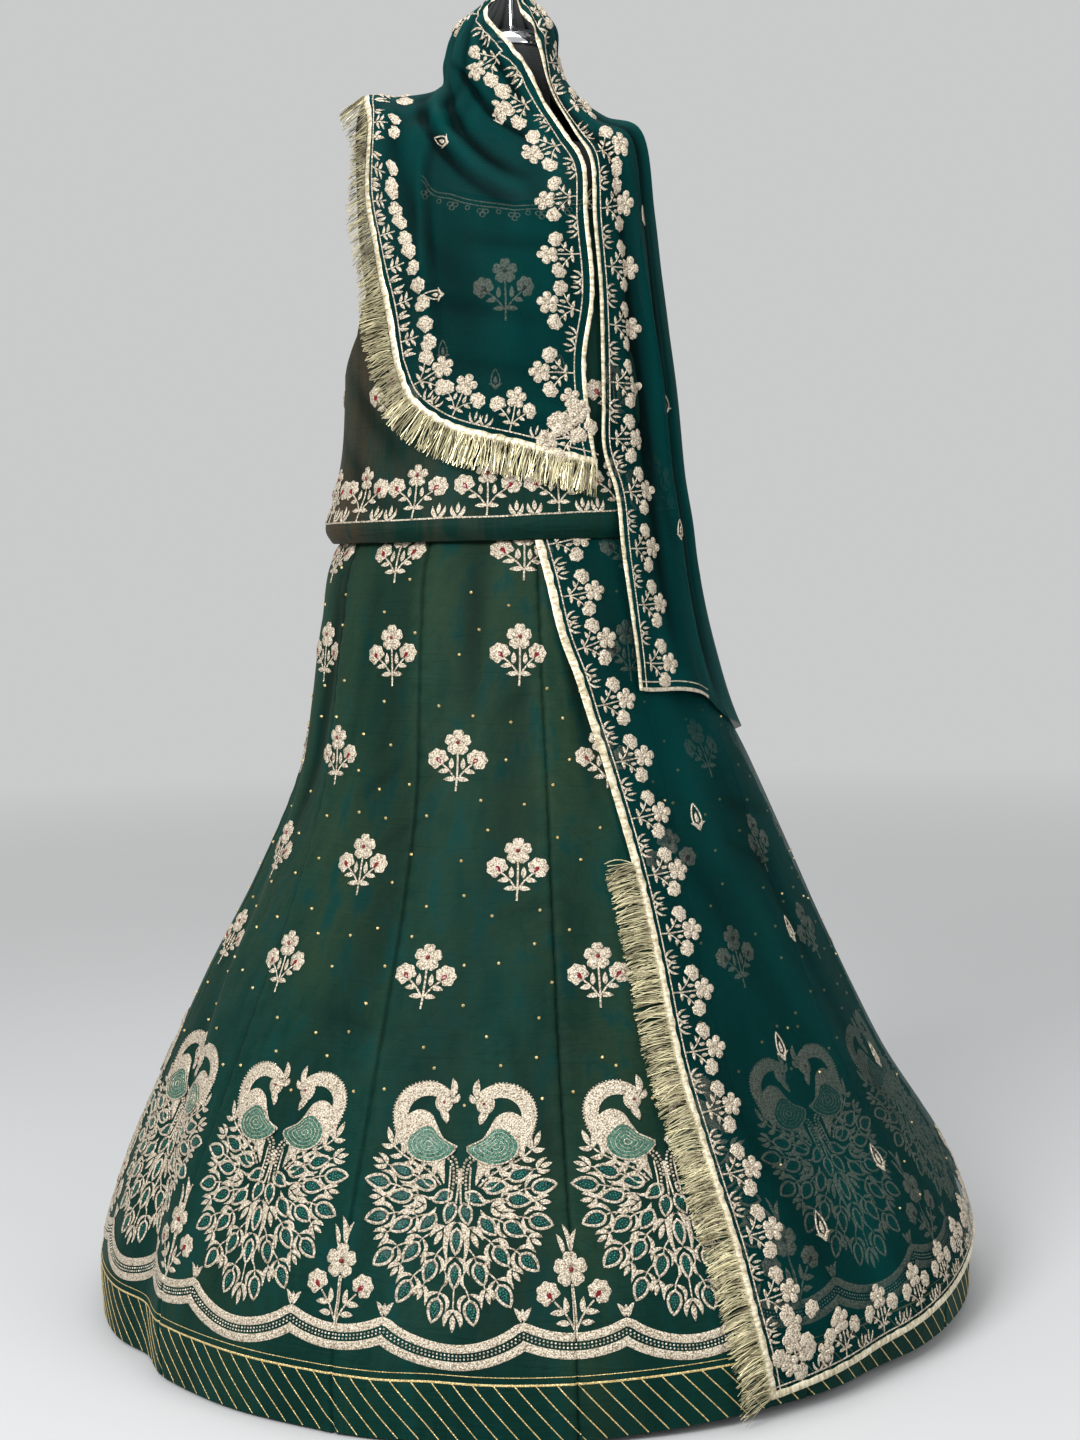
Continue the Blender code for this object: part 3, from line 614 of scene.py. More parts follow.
class Finish:
    """A material and its shader, with one way to add any node."""

    def __init__(self, name, **constants):
        self.material = bpy.data.materials.new(name)
        self.material.use_nodes = True
        self.tree = self.material.node_tree
        self.shader = self.tree.nodes["Principled BSDF"]
        self.set(**constants)

    def set(self, **inputs):
        for name, value in inputs.items():
            self.feed(self.shader.inputs[name.replace("_", " ")], value)

    def feed(self, socket, value):
        if isinstance(value, Value):
            self.tree.links.new(value.socket, socket)
        elif hasattr(value, "__len__") and len(value) == 3 and len(socket.default_value) == 4:
            socket.default_value = (*value, 1)
        else:
            socket.default_value = value

    def node(self, kind, settings, values, out=0):
        made = self.tree.nodes.new(kind)
        for name, value in settings.items():
            setattr(made, name, value)
        for name, value in values.items():
            self.feed(made.inputs[name], value)
        return Value(self, made.outputs[out])

    def place(self, across=1.0, up=1.0, through=1.0, source="Object"):
        """Coordinates in metres, stretched by three factors."""
        start = self.node("ShaderNodeTexCoord", {}, {}, source)
        return self.node("ShaderNodeMapping", {}, {"Vector": start, "Scale": (across, up, through)})

    def noise(self, where, scale, detail=2.0, rough=0.5):
        return self.node(
            "ShaderNodeTexNoise", {}, {"Vector": where, "Scale": scale, "Detail": detail, "Roughness": rough}
        )

    def cells(self, where, scale):
        return self.node("ShaderNodeTexVoronoi", {}, {"Vector": where, "Scale": scale})

    def waves(self, where, scale, direction):
        values = {"Vector": where, "Scale": scale}
        return self.node("ShaderNodeTexWave", {"bands_direction": direction}, values)

    def axes(self, *numbers):
        """Some of the three coordinates in metres."""
        return [self.node("ShaderNodeSeparateXYZ", {}, {0: self.place()}, number) for number in numbers]

    def sunk(self):
        """How many millimetres the cloth has sunk in a crease, by which the shaders paint shade there."""
        return self.node("ShaderNodeAttribute", {"attribute_name": "sunk"}, {}, "Fac")

    def spread(self, value, low, high, new_low=0.0, new_high=1.0):
        """Brings the range low to high onto another range."""
        return self.node("ShaderNodeMapRange", {}, {0: value, 1: low, 2: high, 3: new_low, 4: new_high})

    def mix(self, share, first, second):
        """A colour between two colours."""
        return self.node("ShaderNodeMix", {"data_type": "RGBA"}, {0: share, 6: first, 7: second}, 2)

    def bump(self, height, distance, strength):
        values = {"Strength": strength, "Distance": distance, "Height": height}
        self.set(Normal=self.node("ShaderNodeBump", {}, values))


def times(share, colour):
    """A darker or lighter version of a colour."""
    return tuple(share * c for c in colour)


finishes = {}
print("formulas ready")

# %% [markdown]
# ** Shot silk.** The warp is green and the weft olive, and which one shows depends on how the cloth bends to
# the light. Slow noise mixes the two in patches, partly the yarn's uneven colour and partly painted sheen,
# the olive highlights of the bends, and a drift paints more of that olive sheen towards the waist or the
# left. Noise stretched down the panels lays in streaks along the long folds, painted shade and teal painted
# sheen, and noise stretched along the threads gives the slubs. A little sheen softens the bends, and where a
# crease has sunk the cloth its colour darkens as painted shade. Thin lines where another noise crosses its
# middle are the small crumples, and the weave itself is two crossed waves, fine enough to show only close up.


# %% Shot silk for the lehenga and the kurti
def shot_silk(name, deep, bright, tint, rough, drift=(0.0, 0.0, 0.0)):
    """Two-coloured silk with painted sheen and shade. drift says how the brighter colour, the olive painted
    sheen, grows with x and z.
    """
    silk = Finish(name, Sheen_Weight=0.05, Sheen_Roughness=0.35, Sheen_Tint=tint, Specular_IOR_Level=0.05)
    x, z = silk.axes(0, 2)
    # Slow noise: partly the yarn's uneven colour, partly painted olive sheen in patches.
    dye_and_sheen = silk.noise(silk.place(1.0, 1.0, 0.35), 7.0, 3.0, 0.55)
    # Streaks down the panels along the long folds: painted shade where low, teal painted sheen where high.
    streak = silk.noise(silk.place(1.0, 1.0, 0.07), 38.0, 3.0, 0.6)
    slub = silk.noise(silk.place(900, 16, 1, "UV"), 1.0, 2.0, 0.6)
    cross = silk.noise(silk.place(14, 700, 1, "UV"), 1.0, 2.0, 0.6)
    cloth_place = silk.place(source="UV")
    weave = silk.waves(cloth_place, 420.0, "X") * silk.waves(cloth_place, 420.0, "Y")
    # drift paints more of the olive sheen towards one side and towards the waist.
    shade = silk.spread(dye_and_sheen * 0.6 + streak * 0.4 + x * drift[0] + z * drift[1] + drift[2], 0.43, 0.63)
    threads = silk.spread(slub * 0.5 + cross * 0.3 + streak * 0.2, 0.35, 0.65)
    lighter = silk.mix(shade, times(1.6, deep), times(1.3, bright))
    colour = silk.mix(0.45, silk.mix(shade, deep, bright), silk.mix(threads, times(0.55, deep), lighter))
    # Teal painted sheen where the streaks run high.
    teal = (0.0004, 1.25 * deep[1], 1.5 * deep[2])
    colour = silk.mix(silk.spread(streak, 0.51, 0.66, 0.0, 0.85), colour, teal)
    pull = silk.noise(silk.place(0.30, 0.30, 1.8), 17.0, 4.0, 0.55) - 0.5
    crease = silk.spread(pull * pull, 0.0, 0.0016, 1.0, 0.0)
    # Painted shade: the colour turns to a darker green where a crease has sunk the cloth.
    silk.set(
        Base_Color=silk.mix(silk.spread(silk.sunk(), -1.0, 3.5, 0.0, 0.75), colour, times(0.3, deep)),
        Roughness=rough + slub * 0.14 - dye_and_sheen * 0.08,
    )
    crinkle = silk.noise(silk.place(1.0, 1.0, 0.6), 34.0, 4.0, 0.6)
    relief = crinkle * 0.9 + streak * 1.6 + crease * 0.22 + (slub + cross) * 0.14 + weave * 0.05
    silk.bump(relief, 0.0022, 0.8)
    return silk.material


# More olive painted sheen towards the waist.
finishes["lehenga_silk"] = shot_silk(
    "shot silk, dark green", deep=(0.0012, 0.0225, 0.0165), bright=(0.0138, 0.0325, 0.0172),
    tint=(0.16, 0.40, 0.18), rough=0.5, drift=(0.0, 0.22, -0.08),
)
# More olive painted sheen towards the left side.
finishes["kurti_silk"] = shot_silk(
    "shot silk, olive green", deep=(0.0025, 0.0210, 0.0150), bright=(0.0480, 0.0330, 0.0200),
    tint=(0.40, 0.40, 0.22), rough=0.5, drift=(-1.1, 0.1, -0.255),
)
print(len(finishes), "silks")

# %% [markdown]
# ** Georgette.** The odhni is sheer: what lies under it shows dimly. The threads cover two thirds of it over
# the chest and the skirt. They cover more above the shoulders, where the folds lie close, down the right
# side, where the cloth lies double, and at the back. That goes straight into the alpha, with a slow noise.
# Where a fold has sunk the cloth, its colour darkens as painted shade.


# %% Sheer georgette
def georgette(name):
    teal_sheen = {"Sheen_Weight": 0.04, "Sheen_Roughness": 0.4, "Sheen_Tint": (0.0, 0.5, 0.45)}
    net = Finish(name, Specular_IOR_Level=0.02, **teal_sheen)
    x, depth, height = net.axes(0, 1, 2)
    sunk = net.sunk()
    doubled = net.spread(x, 0.10, 0.16, 0.0, 0.22) * net.spread(height, 0.62, 0.70)
    gathered = net.spread(depth, 0.02, 0.14, 0.0, 0.28) + net.spread(height, 1.28, 1.40, 0.56, 0.80)
    drift = net.noise(net.place(1.0, 1.0, 0.3), 9.0, 3.0, 0.6)
    threads = net.noise(net.place(700, 700, 1, "UV"), 1.0, 2.0, 0.7)
    dyed = net.mix(net.spread(drift, 0.3, 0.7), (0, 0.024, 0.023), (0, 0.040, 0.038))
    # Painted shade: the colour darkens towards near black as a fold sinks the cloth deeper.
    net.set(
        Base_Color=net.mix(net.spread(sunk, -2.0, 5.0), dyed, (0.0, 0.0045, 0.0045)),
        Roughness=0.5 + threads * 0.2,
        Alpha=gathered + doubled + net.spread(sunk, 0, 5, 0, 0.15) + drift * 0.12 + threads * 0.06,
    )
    crepe = net.noise(net.place(), 60.0, 4.0, 0.65)
    net.bump(crepe + threads * 0.15, 0.0012, 0.6)
    return net.material


finishes["odhni_georgette"] = georgette("teal georgette")
print("georgette ready")

# %% [markdown]
# ** Metal thread, sequins, beads and stones.** Zari is cream and glitters in tiny spots, because each
# wrapped thread lies at its own angle. Cells of about two millimetres give those angles as a bump, and a
# noise breaks them up. The same cells and noise lay painted glints and painted shade into the colour: light
# spots and dark specks between the turns. Gold and silver beads glitter in the same way. Sequins are glossy
# cups, and the stones are small red glass drops.


# %% Embroidery finishes
def zari(name, light, dark, metal):
    thread = Finish(name, Metallic=metal, Specular_IOR_Level=0.6)
    glint_cells = thread.cells(thread.place(), 560.0)
    wander = thread.noise(thread.place(), 330.0, 3.0, 0.7)
    # Painted glints and painted shade: light spots and dark specks in the colour, as the thread's turns catch
    # or miss the light.
    speck = thread.spread(glint_cells * 0.8 + wander * 0.6, 0.38, 0.98)
    rough = thread.spread(wander, 0.3, 0.7, 0.28, 0.55)
    thread.set(Base_Color=thread.mix(speck, light, dark), Roughness=rough)
    thread.bump(glint_cells + wander * 0.6, 0.0012, 0.8)
    return thread.material


def sequins(name, dark, light):
    cup = Finish(name, Metallic=0.2, Coat_Weight=0.05, Coat_Roughness=0.15, Specular_IOR_Level=0.15)
    each = cup.noise(cup.place(), 420.0, 1.0)
    hue = cup.mix(cup.spread(each, 0.35, 0.65), dark, light)
    cup.set(Base_Color=hue, Roughness=cup.spread(each, 0.3, 0.7, 0.12, 0.38))
    cup.bump(cup.cells(cup.place(), 520.0), 0.0008, 0.8)
    return cup.material


def drop_stone(name):
    stone = Finish(name, Coat_Weight=0.2, Coat_Roughness=0.08, Specular_IOR_Level=0.25)
    cloud = stone.noise(stone.place(), 300.0, 2.0)
    red = stone.mix(cloud, (0.07, 0.0008, 0.002), (0.19, 0.003, 0.007))
    stone.set(Base_Color=red, Roughness=0.12 + cloud * 0.2)
    return stone.material


finishes["embroidery_thread"] = zari("metal thread", (0.74, 0.66, 0.53), (0.16, 0.115, 0.065), 0.30)
finishes["beads"] = zari("gold beads", (0.78, 0.62, 0.30), (0.42, 0.30, 0.11), 0.5)
finishes["silver_beads"] = zari("silver beads", (0.80, 0.76, 0.66), (0.26, 0.22, 0.15), 0.5)
finishes["sequins"] = sequins("teal sequins", (0.0, 0.10, 0.07), (0.01, 0.25, 0.17))
finishes["eye_ground"] = sequins("dark teal ground", (0.0, 0.014, 0.012), (0.0, 0.036, 0.030))
finishes["wing_sequins"] = sequins("pale teal sequins", (0.015, 0.070, 0.050), (0.08, 0.17, 0.12))
finishes["red_stones"] = drop_stone("red stones")
print(len(finishes), "finishes so far")

# %% [markdown]
# ** Gota and kiran.** Gota is a flat woven ribbon of pale gold, folded over the edge. Kiran is a fringe of
# drawn metal strips, each catching the light at its own angle. In both, a noise stretched along the strands
# lays painted glints and painted shade into the colour, from bright to dark between one strand and the next,
# with slower patches of the same. Both are the same noise, stretched in a different way.


# %% Trimming finishes
def ribbon(name, light, dark, metal, rough, across, along_it):
    gold = Finish(name, Metallic=metal, Specular_IOR_Level=0.6)
    strand = gold.noise(gold.place(across, along_it, 1, "UV"), 1.0, 2.0, 0.6)
    glint_patches = gold.noise(gold.place(), 45.0, 3.0)
    # Painted glints and painted shade: bright and dark strands in the colour, with slower patches of the
    # same.
    gold.set(
        Base_Color=gold.mix(gold.spread(strand * 0.7 + glint_patches * 0.3, 0.38, 0.60), dark, light),
        Roughness=gold.spread(strand, 0.3, 0.7, rough, rough + 0.25),
    )
    gold.bump(strand + glint_patches * 0.6, 0.0020, 0.9)
    return gold.material


finishes["gota_piping"] = ribbon(
    "gota ribbon", (0.76, 0.69, 0.52), (0.34, 0.28, 0.16), metal=0.4, rough=0.28, across=90, along_it=240
)
finishes["kiran_fringe"] = ribbon(
    "kiran strands", (0.70, 0.63, 0.38), (0.08, 0.065, 0.03), metal=0.55, rough=0.22, across=900, along_it=14
)
print("trimmings ready")

# %% [markdown]
# **The form.** Its torso and neck block wear a matt black jersey, a knit whose rows show only close up. The
# cap, the knob and the pole are chrome with faint polishing marks, and the foot is painted steel with a
# fine orange peel.


# %% Finishes of the form
def jersey(name):
    knit = Finish(name, Sheen_Weight=0.3, Sheen_Roughness=0.5, Roughness=0.85)
    rows = knit.waves(knit.place(), 160.0, "Z")
    fuzz = knit.noise(knit.place(), 500.0, 3.0)
    knit.set(Base_Color=knit.mix(fuzz, (0.004, 0.006, 0.006), (0.012, 0.015, 0.015)))
    knit.bump(rows * 0.5 + fuzz, 0.0008, 0.6)
    return knit.material


def polished(name):
    chrome = Finish(name, Metallic=1.0)
    marks = chrome.noise(chrome.place(60, 60, 900), 1.0, 3.0)
    silvery = chrome.mix(marks, (0.70, 0.71, 0.73), (0.84, 0.85, 0.86))
    chrome.set(Base_Color=silvery, Roughness=0.07 + marks * 0.10)
    chrome.bump(marks, 0.0001, 0.25)
    return chrome.material


def painted(name):
    paint = Finish(name, Metallic=0.3, Coat_Weight=0.2)
    peel = paint.noise(paint.place(), 700.0, 3.0)
    wear = paint.noise(paint.place(), 22.0, 4.0)
    black = paint.mix(wear, (0.018, 0.018, 0.019), (0.045, 0.045, 0.046))
    paint.set(Base_Color=black, Roughness=0.32 + wear * 0.2)
    paint.bump(peel, 0.0003, 0.4)
    return paint.material


finishes["form_cloth"] = jersey("black jersey")
finishes["chrome"] = polished("polished chrome")
finishes["base_paint"] = painted("black paint")
# The silk shader in duller greens, with its painted sheen and streaks.
finishes["waistband_cotton"] = shot_silk(
    "plain green cotton", deep=(0.003, 0.020, 0.014), bright=(0.006, 0.027, 0.018),
    tint=(0.2, 0.3, 0.2), rough=0.7,
)
print(len(finishes), "finishes")


# %% [markdown]
# ## Making meshes
# All pieces are arrays of points and faces that are gathered and turned into one mesh each. A cloth is a
# grid of turns and levels. Its UV map holds metres along and across the threads, so that the weave keeps
# its size, and an attribute holds how many millimetres each point has sunk in a crease. The cloth's shaders
# darken their colour by it, as painted shade in the creases.

# %% Grids and pieces
MM_IN_M = 1000


def grid_faces(rows, across):
    """The quads of a grid of points."""
    first = (np.arange(rows - 1)[:, None] * across + np.arange(across - 1)).reshape(-1, 1)
    return first + np.array([0, 1, across + 1, across])


class Heap:
    """Points and faces gathered for one mesh."""

    def __init__(self):
        self.points, self.faces, self.threads, self.sunk, self.count = [], [], [], [], 0

    def add(self, points, faces, threads=None, sunk=0.0):
        points = np.asarray(points, float).reshape(-1, 3)
        self.points.append(points)
        self.sunk.append(np.broadcast_to(np.ravel(sunk) * MM_IN_M, len(points)))
        self.threads.append(points[:, :2] if threads is None else np.asarray(threads, float).reshape(-1, 2))
        self.faces.extend((np.asarray(faces) + self.count).tolist())
        self.count += len(points)

    def piece(self, name, finish, stands_for=()):
        points, threads = np.concatenate(self.points), np.concatenate(self.threads)
        mesh = bpy.data.meshes.new(name)
        mesh.from_pydata(points.tolist(), [], self.faces)
        layer = mesh.uv_layers.new(name="threads")
        corners = np.zeros(len(mesh.loops), np.int32)
        mesh.loops.foreach_get("vertex_index", corners)
        layer.data.foreach_set("uv", threads[corners].ravel())
        depth = mesh.attributes.new("sunk", "FLOAT", "POINT")
        depth.data.foreach_set("value", np.concatenate(self.sunk))
        mesh.materials.append(finishes[finish])
        mesh.shade_smooth()
        made = bpy.data.objects.new(name, mesh)
        bpy.context.scene.collection.objects.link(made)
        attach(made, "root")
        if stands_for:
            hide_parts(*stands_for)
        triangles = sum(len(face) - 2 for face in self.faces)
        area = sum(face.area for face in mesh.polygons)
        print(f"{name}: {triangles} triangles, {area:.3f} square metres")
        return made


def cloth_grid(heap, place, sunk=0.0):
    """Adds a grid of points, with metres along its rows and columns as its map, and how deep it has sunk."""
    across = np.linalg.norm(np.diff(place, axis=1), axis=-1)
    down = np.linalg.norm(np.diff(place, axis=0), axis=-1)
    middle = place.shape[1] // 2
    u = np.concatenate([np.zeros((len(place), 1)), np.cumsum(across, axis=1)], 1)
    u = u - u[:, middle : middle + 1]
    v = np.concatenate([np.zeros((1, place.shape[1])), -np.cumsum(down, axis=0)], 0)
    heap.add(place, grid_faces(*place.shape[:2]), np.stack([u, v], -1), sunk)


def turned_in(heap, hem, shares, drop):
    """Two rows under a hem that lead inwards, down by drop and then up."""
    first, last = ((share, share, 1) for share in shares)
    under = np.stack([hem, hem * first - (0, 0, drop), hem * last + (0, 0, 0.004)])
    heap.add(under, grid_faces(*under.shape[:2]))


print("quads in a 3 by 3 grid:", len(grid_faces(3, 3)))

# %% [markdown]
# ## The lehenga
# Thirteen flared kalis are sewn edge to edge, with a hem band below them. One shell holds them all, because
# the silk runs on without a break of light, and each seam is a narrow sink. The columns crowd together at
# the seams so that the sink is sharp, and the lowest rows turn in under the hem as the real fold does.


# %% The lehenga's silk
def lehenga():
    heap = Heap()
    turn, level = np.meshgrid(skirt.turns, skirt.levels[::-1])
    cloth_grid(heap, skirt.points[::-1], skirt_depth(kali_turn(turn, level), level))
    turned_in(heap, skirt.points[0], (0.997, 0.992), 0.0004)
    names = [f"lehenga_{part}_{i + 1:02d}" for part in ("kali", "hem") for i in range(KALIS)]
    return heap.piece("lehenga_panels", "lehenga_silk", names)


lehenga_panels = lehenga()

# %% [markdown]
# The waistband is a plain strip that closes the top of the skirt under the kurti.


# %% Waistband
def waistband():
    heap = Heap()
    rows = 7
    turn, level = np.meshgrid(np.linspace(0, 360, 97), np.linspace(1.035, 0.9975, rows))
    base = torso_point(turn, level)
    normal = outward(torso_point, turn, level)
    lift = 0.0022 + 0.0006 * np.sin(np.linspace(0, math.pi, rows))[:, None, None]
    heap.add(base + normal * lift, grid_faces(*turn.shape))
    return heap.piece("waistband", "waistband_cotton", ["lehenga_waistband_front", "lehenga_waistband_back"])


lehenga_waistband = waistband()

# %% [markdown]
# ## The kurti
# Front and back meet at the side seams and the shoulders. Their top edge is one line that runs along
# neckline, shoulder and armhole, so the grid's rows are simply scaled between that line and the hem. The
# hem bulges a little where it turns in.


# %% The kurti's silk
def kurti_half(name, neckline, facing):
    edge = [*neckline, (48, SHOULDER), *ARMHOLE]
    edge_turn = np.array([turn for turn, _ in edge], float)
    edge_level = np.array([level for _, level in edge])
    side = np.concatenate([edge_turn, np.linspace(55.9, 60, 22), np.linspace(0, RIDGE, 56)])
    side = np.unique(side.clip(0, RIDGE))
    turns = np.concatenate([-side[:0:-1], side])
    top = np.interp(np.abs(turns), edge_turn, edge_level)
    share = np.concatenate([np.linspace(0, 0.82, 84), np.linspace(0.83, 1, 22)])[:, None]
    level = KURTI_HEM + (top - KURTI_HEM) * share
    turn = np.repeat(turns[None], len(level), 0)
    turn = turn if facing == 0 else facing - turn
    heap = Heap()
    place = kurti_silk(turn, level)
    cloth_grid(heap, place, kurti_depth(turn, level))
    turned_in(heap, place[0], (0.990, 0.965), 0.0010)
    return heap.piece(name + "_silk", "kurti_silk", [name])


kurti_front = kurti_half("kurti_front", NECKLINE_FRONT, 0)
kurti_back = kurti_half("kurti_back", NECKLINE_BACK, 180)


# %% [markdown]
# ## The odhni
# The veil is one length of georgette, shown as the four stretches in which it hangs. Each is a patch
# between four edges: a point inside mixes the two side edges with the top and bottom ones, which is how a
# cutter would fill a shape from its outline.

# %% Patches between edges
def along(edge, count):
    """Points spaced evenly along an edge's smooth curve, as (count, 2) turns and levels."""
    edge = np.array(edge, float)
    steps = np.hypot(*(np.diff(edge, axis=0) * (0.0035, 1)).T)
    run = np.concatenate([[0], np.cumsum(steps)])
    at = np.linspace(0, run[-1], count)
    return np.stack([smooth_through(run, edge[:, i], at) for i in (0, 1)], -1)


def patch(left, right, top, bottom, rows, across):
    """A grid of turns and levels inside four edges."""
    left, right = along(left, rows), along(right, rows)
    top, bottom = along(top, across), along(bottom, across)
    u, v = np.linspace(0, 1, across)[None, :, None], np.linspace(0, 1, rows)[:, None, None]
    grid = (1 - u) * left[:, None] + u * right[:, None] + (1 - v) * top[None] + v * bottom[None]
    grid = grid - (1 - u) * (1 - v) * left[0] - u * (1 - v) * right[0]
    grid = grid - (1 - u) * v * left[-1] - u * v * right[-1]
    return grid[..., 0], grid[..., 1]


def stretch(name, surface, edges, rows, across, limits):
    turn, level = patch(*edges, rows, across)
    turn = np.clip(turn, *limits)
    depth = veil_low_depth(turn, level) if surface is veil_low_net else mantle_depth(turn, level)
    heap = Heap()
    cloth_grid(heap, surface(turn, level), depth)
    return heap.piece(name + "_net", "odhni_georgette", [name])


FRONT_SIDE = ((-RIDGE, VEIL_TOP), (-RIDGE, 1.500), (-RIDGE, 1.420), (-RIDGE, 1.370), *FRINGE_EDGE)
SIDE_TOP, BACK_TOP, LOWER_TOP = (SIDE_SEAM, VEIL_TOP), (180 + RIDGE, VEIL_TOP), (SIDE_SEAM, SLANT_EDGE[0][1])
odhni_front = stretch(
    "odhni_front", mantle_net,
    (FRONT_SIDE, INNER_EDGE, (FRONT_SIDE[0], INNER_EDGE[0]), CHEST_EDGE), 150, 90, (-RIDGE, 360),
)
odhni_right = stretch(
    "odhni_right_fall", mantle_net,
    (RIGHT_EDGE, (SIDE_TOP, SWAG_FOLD[-1]), (RIGHT_EDGE[0], SIDE_TOP), SWAG_FOLD), 170, 84, (-360, SIDE_SEAM),
)
odhni_back = stretch(
    "odhni_back", whole_veil,
    ((SIDE_TOP, BACK_EDGE[0]), (BACK_TOP, BACK_EDGE[-1]), (SIDE_TOP, BACK_TOP), BACK_EDGE),
    180, 150, (SIDE_SEAM, 180 + RIDGE),
)
odhni_lower = stretch(
    "odhni_lower", veil_low_net,
    (SLANT_EDGE, (LOWER_TOP, FLOOR_EDGE[-1]), (SLANT_EDGE[0], LOWER_TOP), FLOOR_EDGE),
    180, 130, (-360, SIDE_SEAM),
)


# %% [markdown]
# ## Embroidery
# A motif is drawn flat in millimetres, as on an embroiderer's frame, from three kinds of stitching: a
# raised band along a line, a padded patch inside an outline, and small domes and cones for beads, stones
# and sequins. It is then settled on the cloth: its across and up become turn and level, and its height goes
# along the normal.

# %% Flat curves
def run_along(points):
    """How far along a line each of its points is."""
    return np.concatenate([[0], np.cumsum(np.hypot(*np.diff(points, axis=0).T))])


def curve_through(points, count):
    """A smooth open curve through flat points."""
    points = np.array(points, float)
    run = run_along(points)
    at = np.linspace(0, run[-1], count)
    return np.stack([smooth_through(run, points[:, i], at) for i in (0, 1)], -1)


def outline_through(points, count):
    """A smooth closed curve through flat points."""
    points = np.array(points, float)
    wrapped = np.concatenate([points[-2:], points, points[:3]])
    run = run_along(wrapped)
    at = np.linspace(run[2], run[len(points) + 2], count, endpoint=False)
    return np.stack([smooth_through(run, wrapped[:, i], at) for i in (0, 1)], -1)


def circle_at(at, radius, sides):
    """The corners of a small many-sided circle."""
    angles = np.arange(sides) * 2 * np.pi / sides
    return np.array(at) + radius * np.stack([np.cos(angles), np.sin(angles)], -1)


def mirrored_outline(right_side):
    """A closed outline from its right side, which starts and ends on the middle line."""
    return np.concatenate([right_side, (right_side * (-1, 1))[-2:0:-1]])


print("points on a curve:", len(curve_through(((0, 0), (1, 2), (3, 3)), 7)))


# %% Motifs
class Motif:
    """Flat embroidery in millimetres: for each finish, points (across, up, height) and triangles."""

    def __init__(self):
        self.parts = {}
        self.base = 0.0  # height at which the next stitches start

    def put(self, slot, points, faces):
        points = np.asarray(points, float) + (0, 0, self.base)
        known, triangles = self.parts.get(slot, (np.zeros((0, 3)), np.zeros((0, 3), int)))
        triangles = np.concatenate([triangles, np.asarray(faces) + len(known)])
        self.parts[slot] = (np.concatenate([known, points]), triangles)

    def band(self, line, half_widths, height, slot="embroidery_thread", closed=False):
        """A raised band along a line."""
        line = np.asarray(line, float)
        if closed:
            line = np.concatenate([line, line[:1]])
        ahead = np.gradient(line, axis=0)
        if closed:
            ahead[0] = ahead[-1] = line[1] - line[-2]
        length = np.linalg.norm(ahead, axis=1, keepdims=True) + 1e-9
        sides = np.stack([-ahead[:, 1], ahead[:, 0]], -1) / length
        half = np.broadcast_to(np.asarray(half_widths, float), len(line))[:, None]
        low, high = np.zeros(len(line)), np.full(len(line), height)
        rows = [np.c_[line - sides * half, low], np.c_[line, high], np.c_[line + sides * half, low]]
        quads = grid_faces(3, len(line))
        self.put(slot, np.concatenate(rows), np.concatenate([quads[:, [0, 1, 2]], quads[:, [0, 2, 3]]]))

    def leaf(self, base, tip, width, bend=0.0, height=0.9, blunt=0.8, slot="embroidery_thread", rows=6):
        """A pointed leaf, or a petal if it is blunt."""
        base, tip = np.array(base, float), np.array(tip, float)
        share = np.linspace(0, 1, rows)[:, None]
        run = tip - base
        line = base + run * share + np.array([-run[1], run[0]]) * bend * np.sin(np.pi * share)
        self.band(line, 0.15 + width / 2 * np.sin(np.pi * share[:, 0] ** blunt) ** 0.75, height, slot)

    def pad(self, outline, height, slot="embroidery_thread", inner=0.6, relief=1.0):
        """A padded patch inside an outline. relief, one number or one for each point, lowers its shoulder."""
        outline = np.asarray(outline, float)
        count = len(outline)
        centre = outline.mean(0)
        ring_in = centre + (outline - centre) * inner
        shoulder = height * np.broadcast_to(relief, count)
        points = [np.c_[outline, np.zeros(count)], np.c_[ring_in, shoulder], [[*centre, shoulder.mean()]]]
        i = np.arange(count)
        j = (i + 1) % count
        rim = np.concatenate([np.c_[i, j, j + count], np.c_[i, j + count, i + count]])
        faces = np.concatenate([rim, np.c_[i + count, j + count, 0 * i + 2 * count]])
        self.put(slot, np.concatenate(points), faces)

    def dot(self, at, radius, slot="beads", height=None, sides=6):
        """A small dome."""
        self.pad(circle_at(at, radius, sides), radius * 0.8 if height is None else height, slot, 0.55)

    def cone(self, at, radius, slot="sequins", height=0.7, sides=6):
        """A small cone: one sequin."""
        angles = np.arange(sides + 1) * 2 * np.pi / sides
        circle = np.array(at) + radius * np.stack([np.cos(angles), np.sin(angles)], -1)
        points = np.concatenate([np.c_[circle, np.zeros(sides + 1)], [[*at, height]]])
        i = np.arange(sides)
        self.put(slot, points, np.c_[i, i + 1, 0 * i + sides + 1])

    def include(self, other, at=(0, 0), angle=0.0, scale=1.0, mirror=False):
        """Adds another motif, turned, scaled and moved, after mirroring it if asked."""
        c, s = math.cos(math.radians(angle)) * scale, math.sin(math.radians(angle)) * scale
        for slot, (points, faces) in other.parts.items():
            moved = points.copy()
            if mirror:
                moved[:, 0] *= -1
                faces = faces[:, ::-1]
            across = c * moved[:, 0] - s * moved[:, 1] + at[0]
            up = s * moved[:, 0] + c * moved[:, 1] + at[1]
            self.put(slot, np.stack([across, up, moved[:, 2]], -1), faces)
        return self


print("motif class ready")


# %% [markdown]
# The smallest plant of this embroidery is a sprig: a five-petalled flower on a straight stem, two round
# blooms on side branches, pairs of leaves, and red stones in the hearts. It is used large on the lehenga,
# in a row along the kurti's hem, and lying on its side along the odhni's borders.

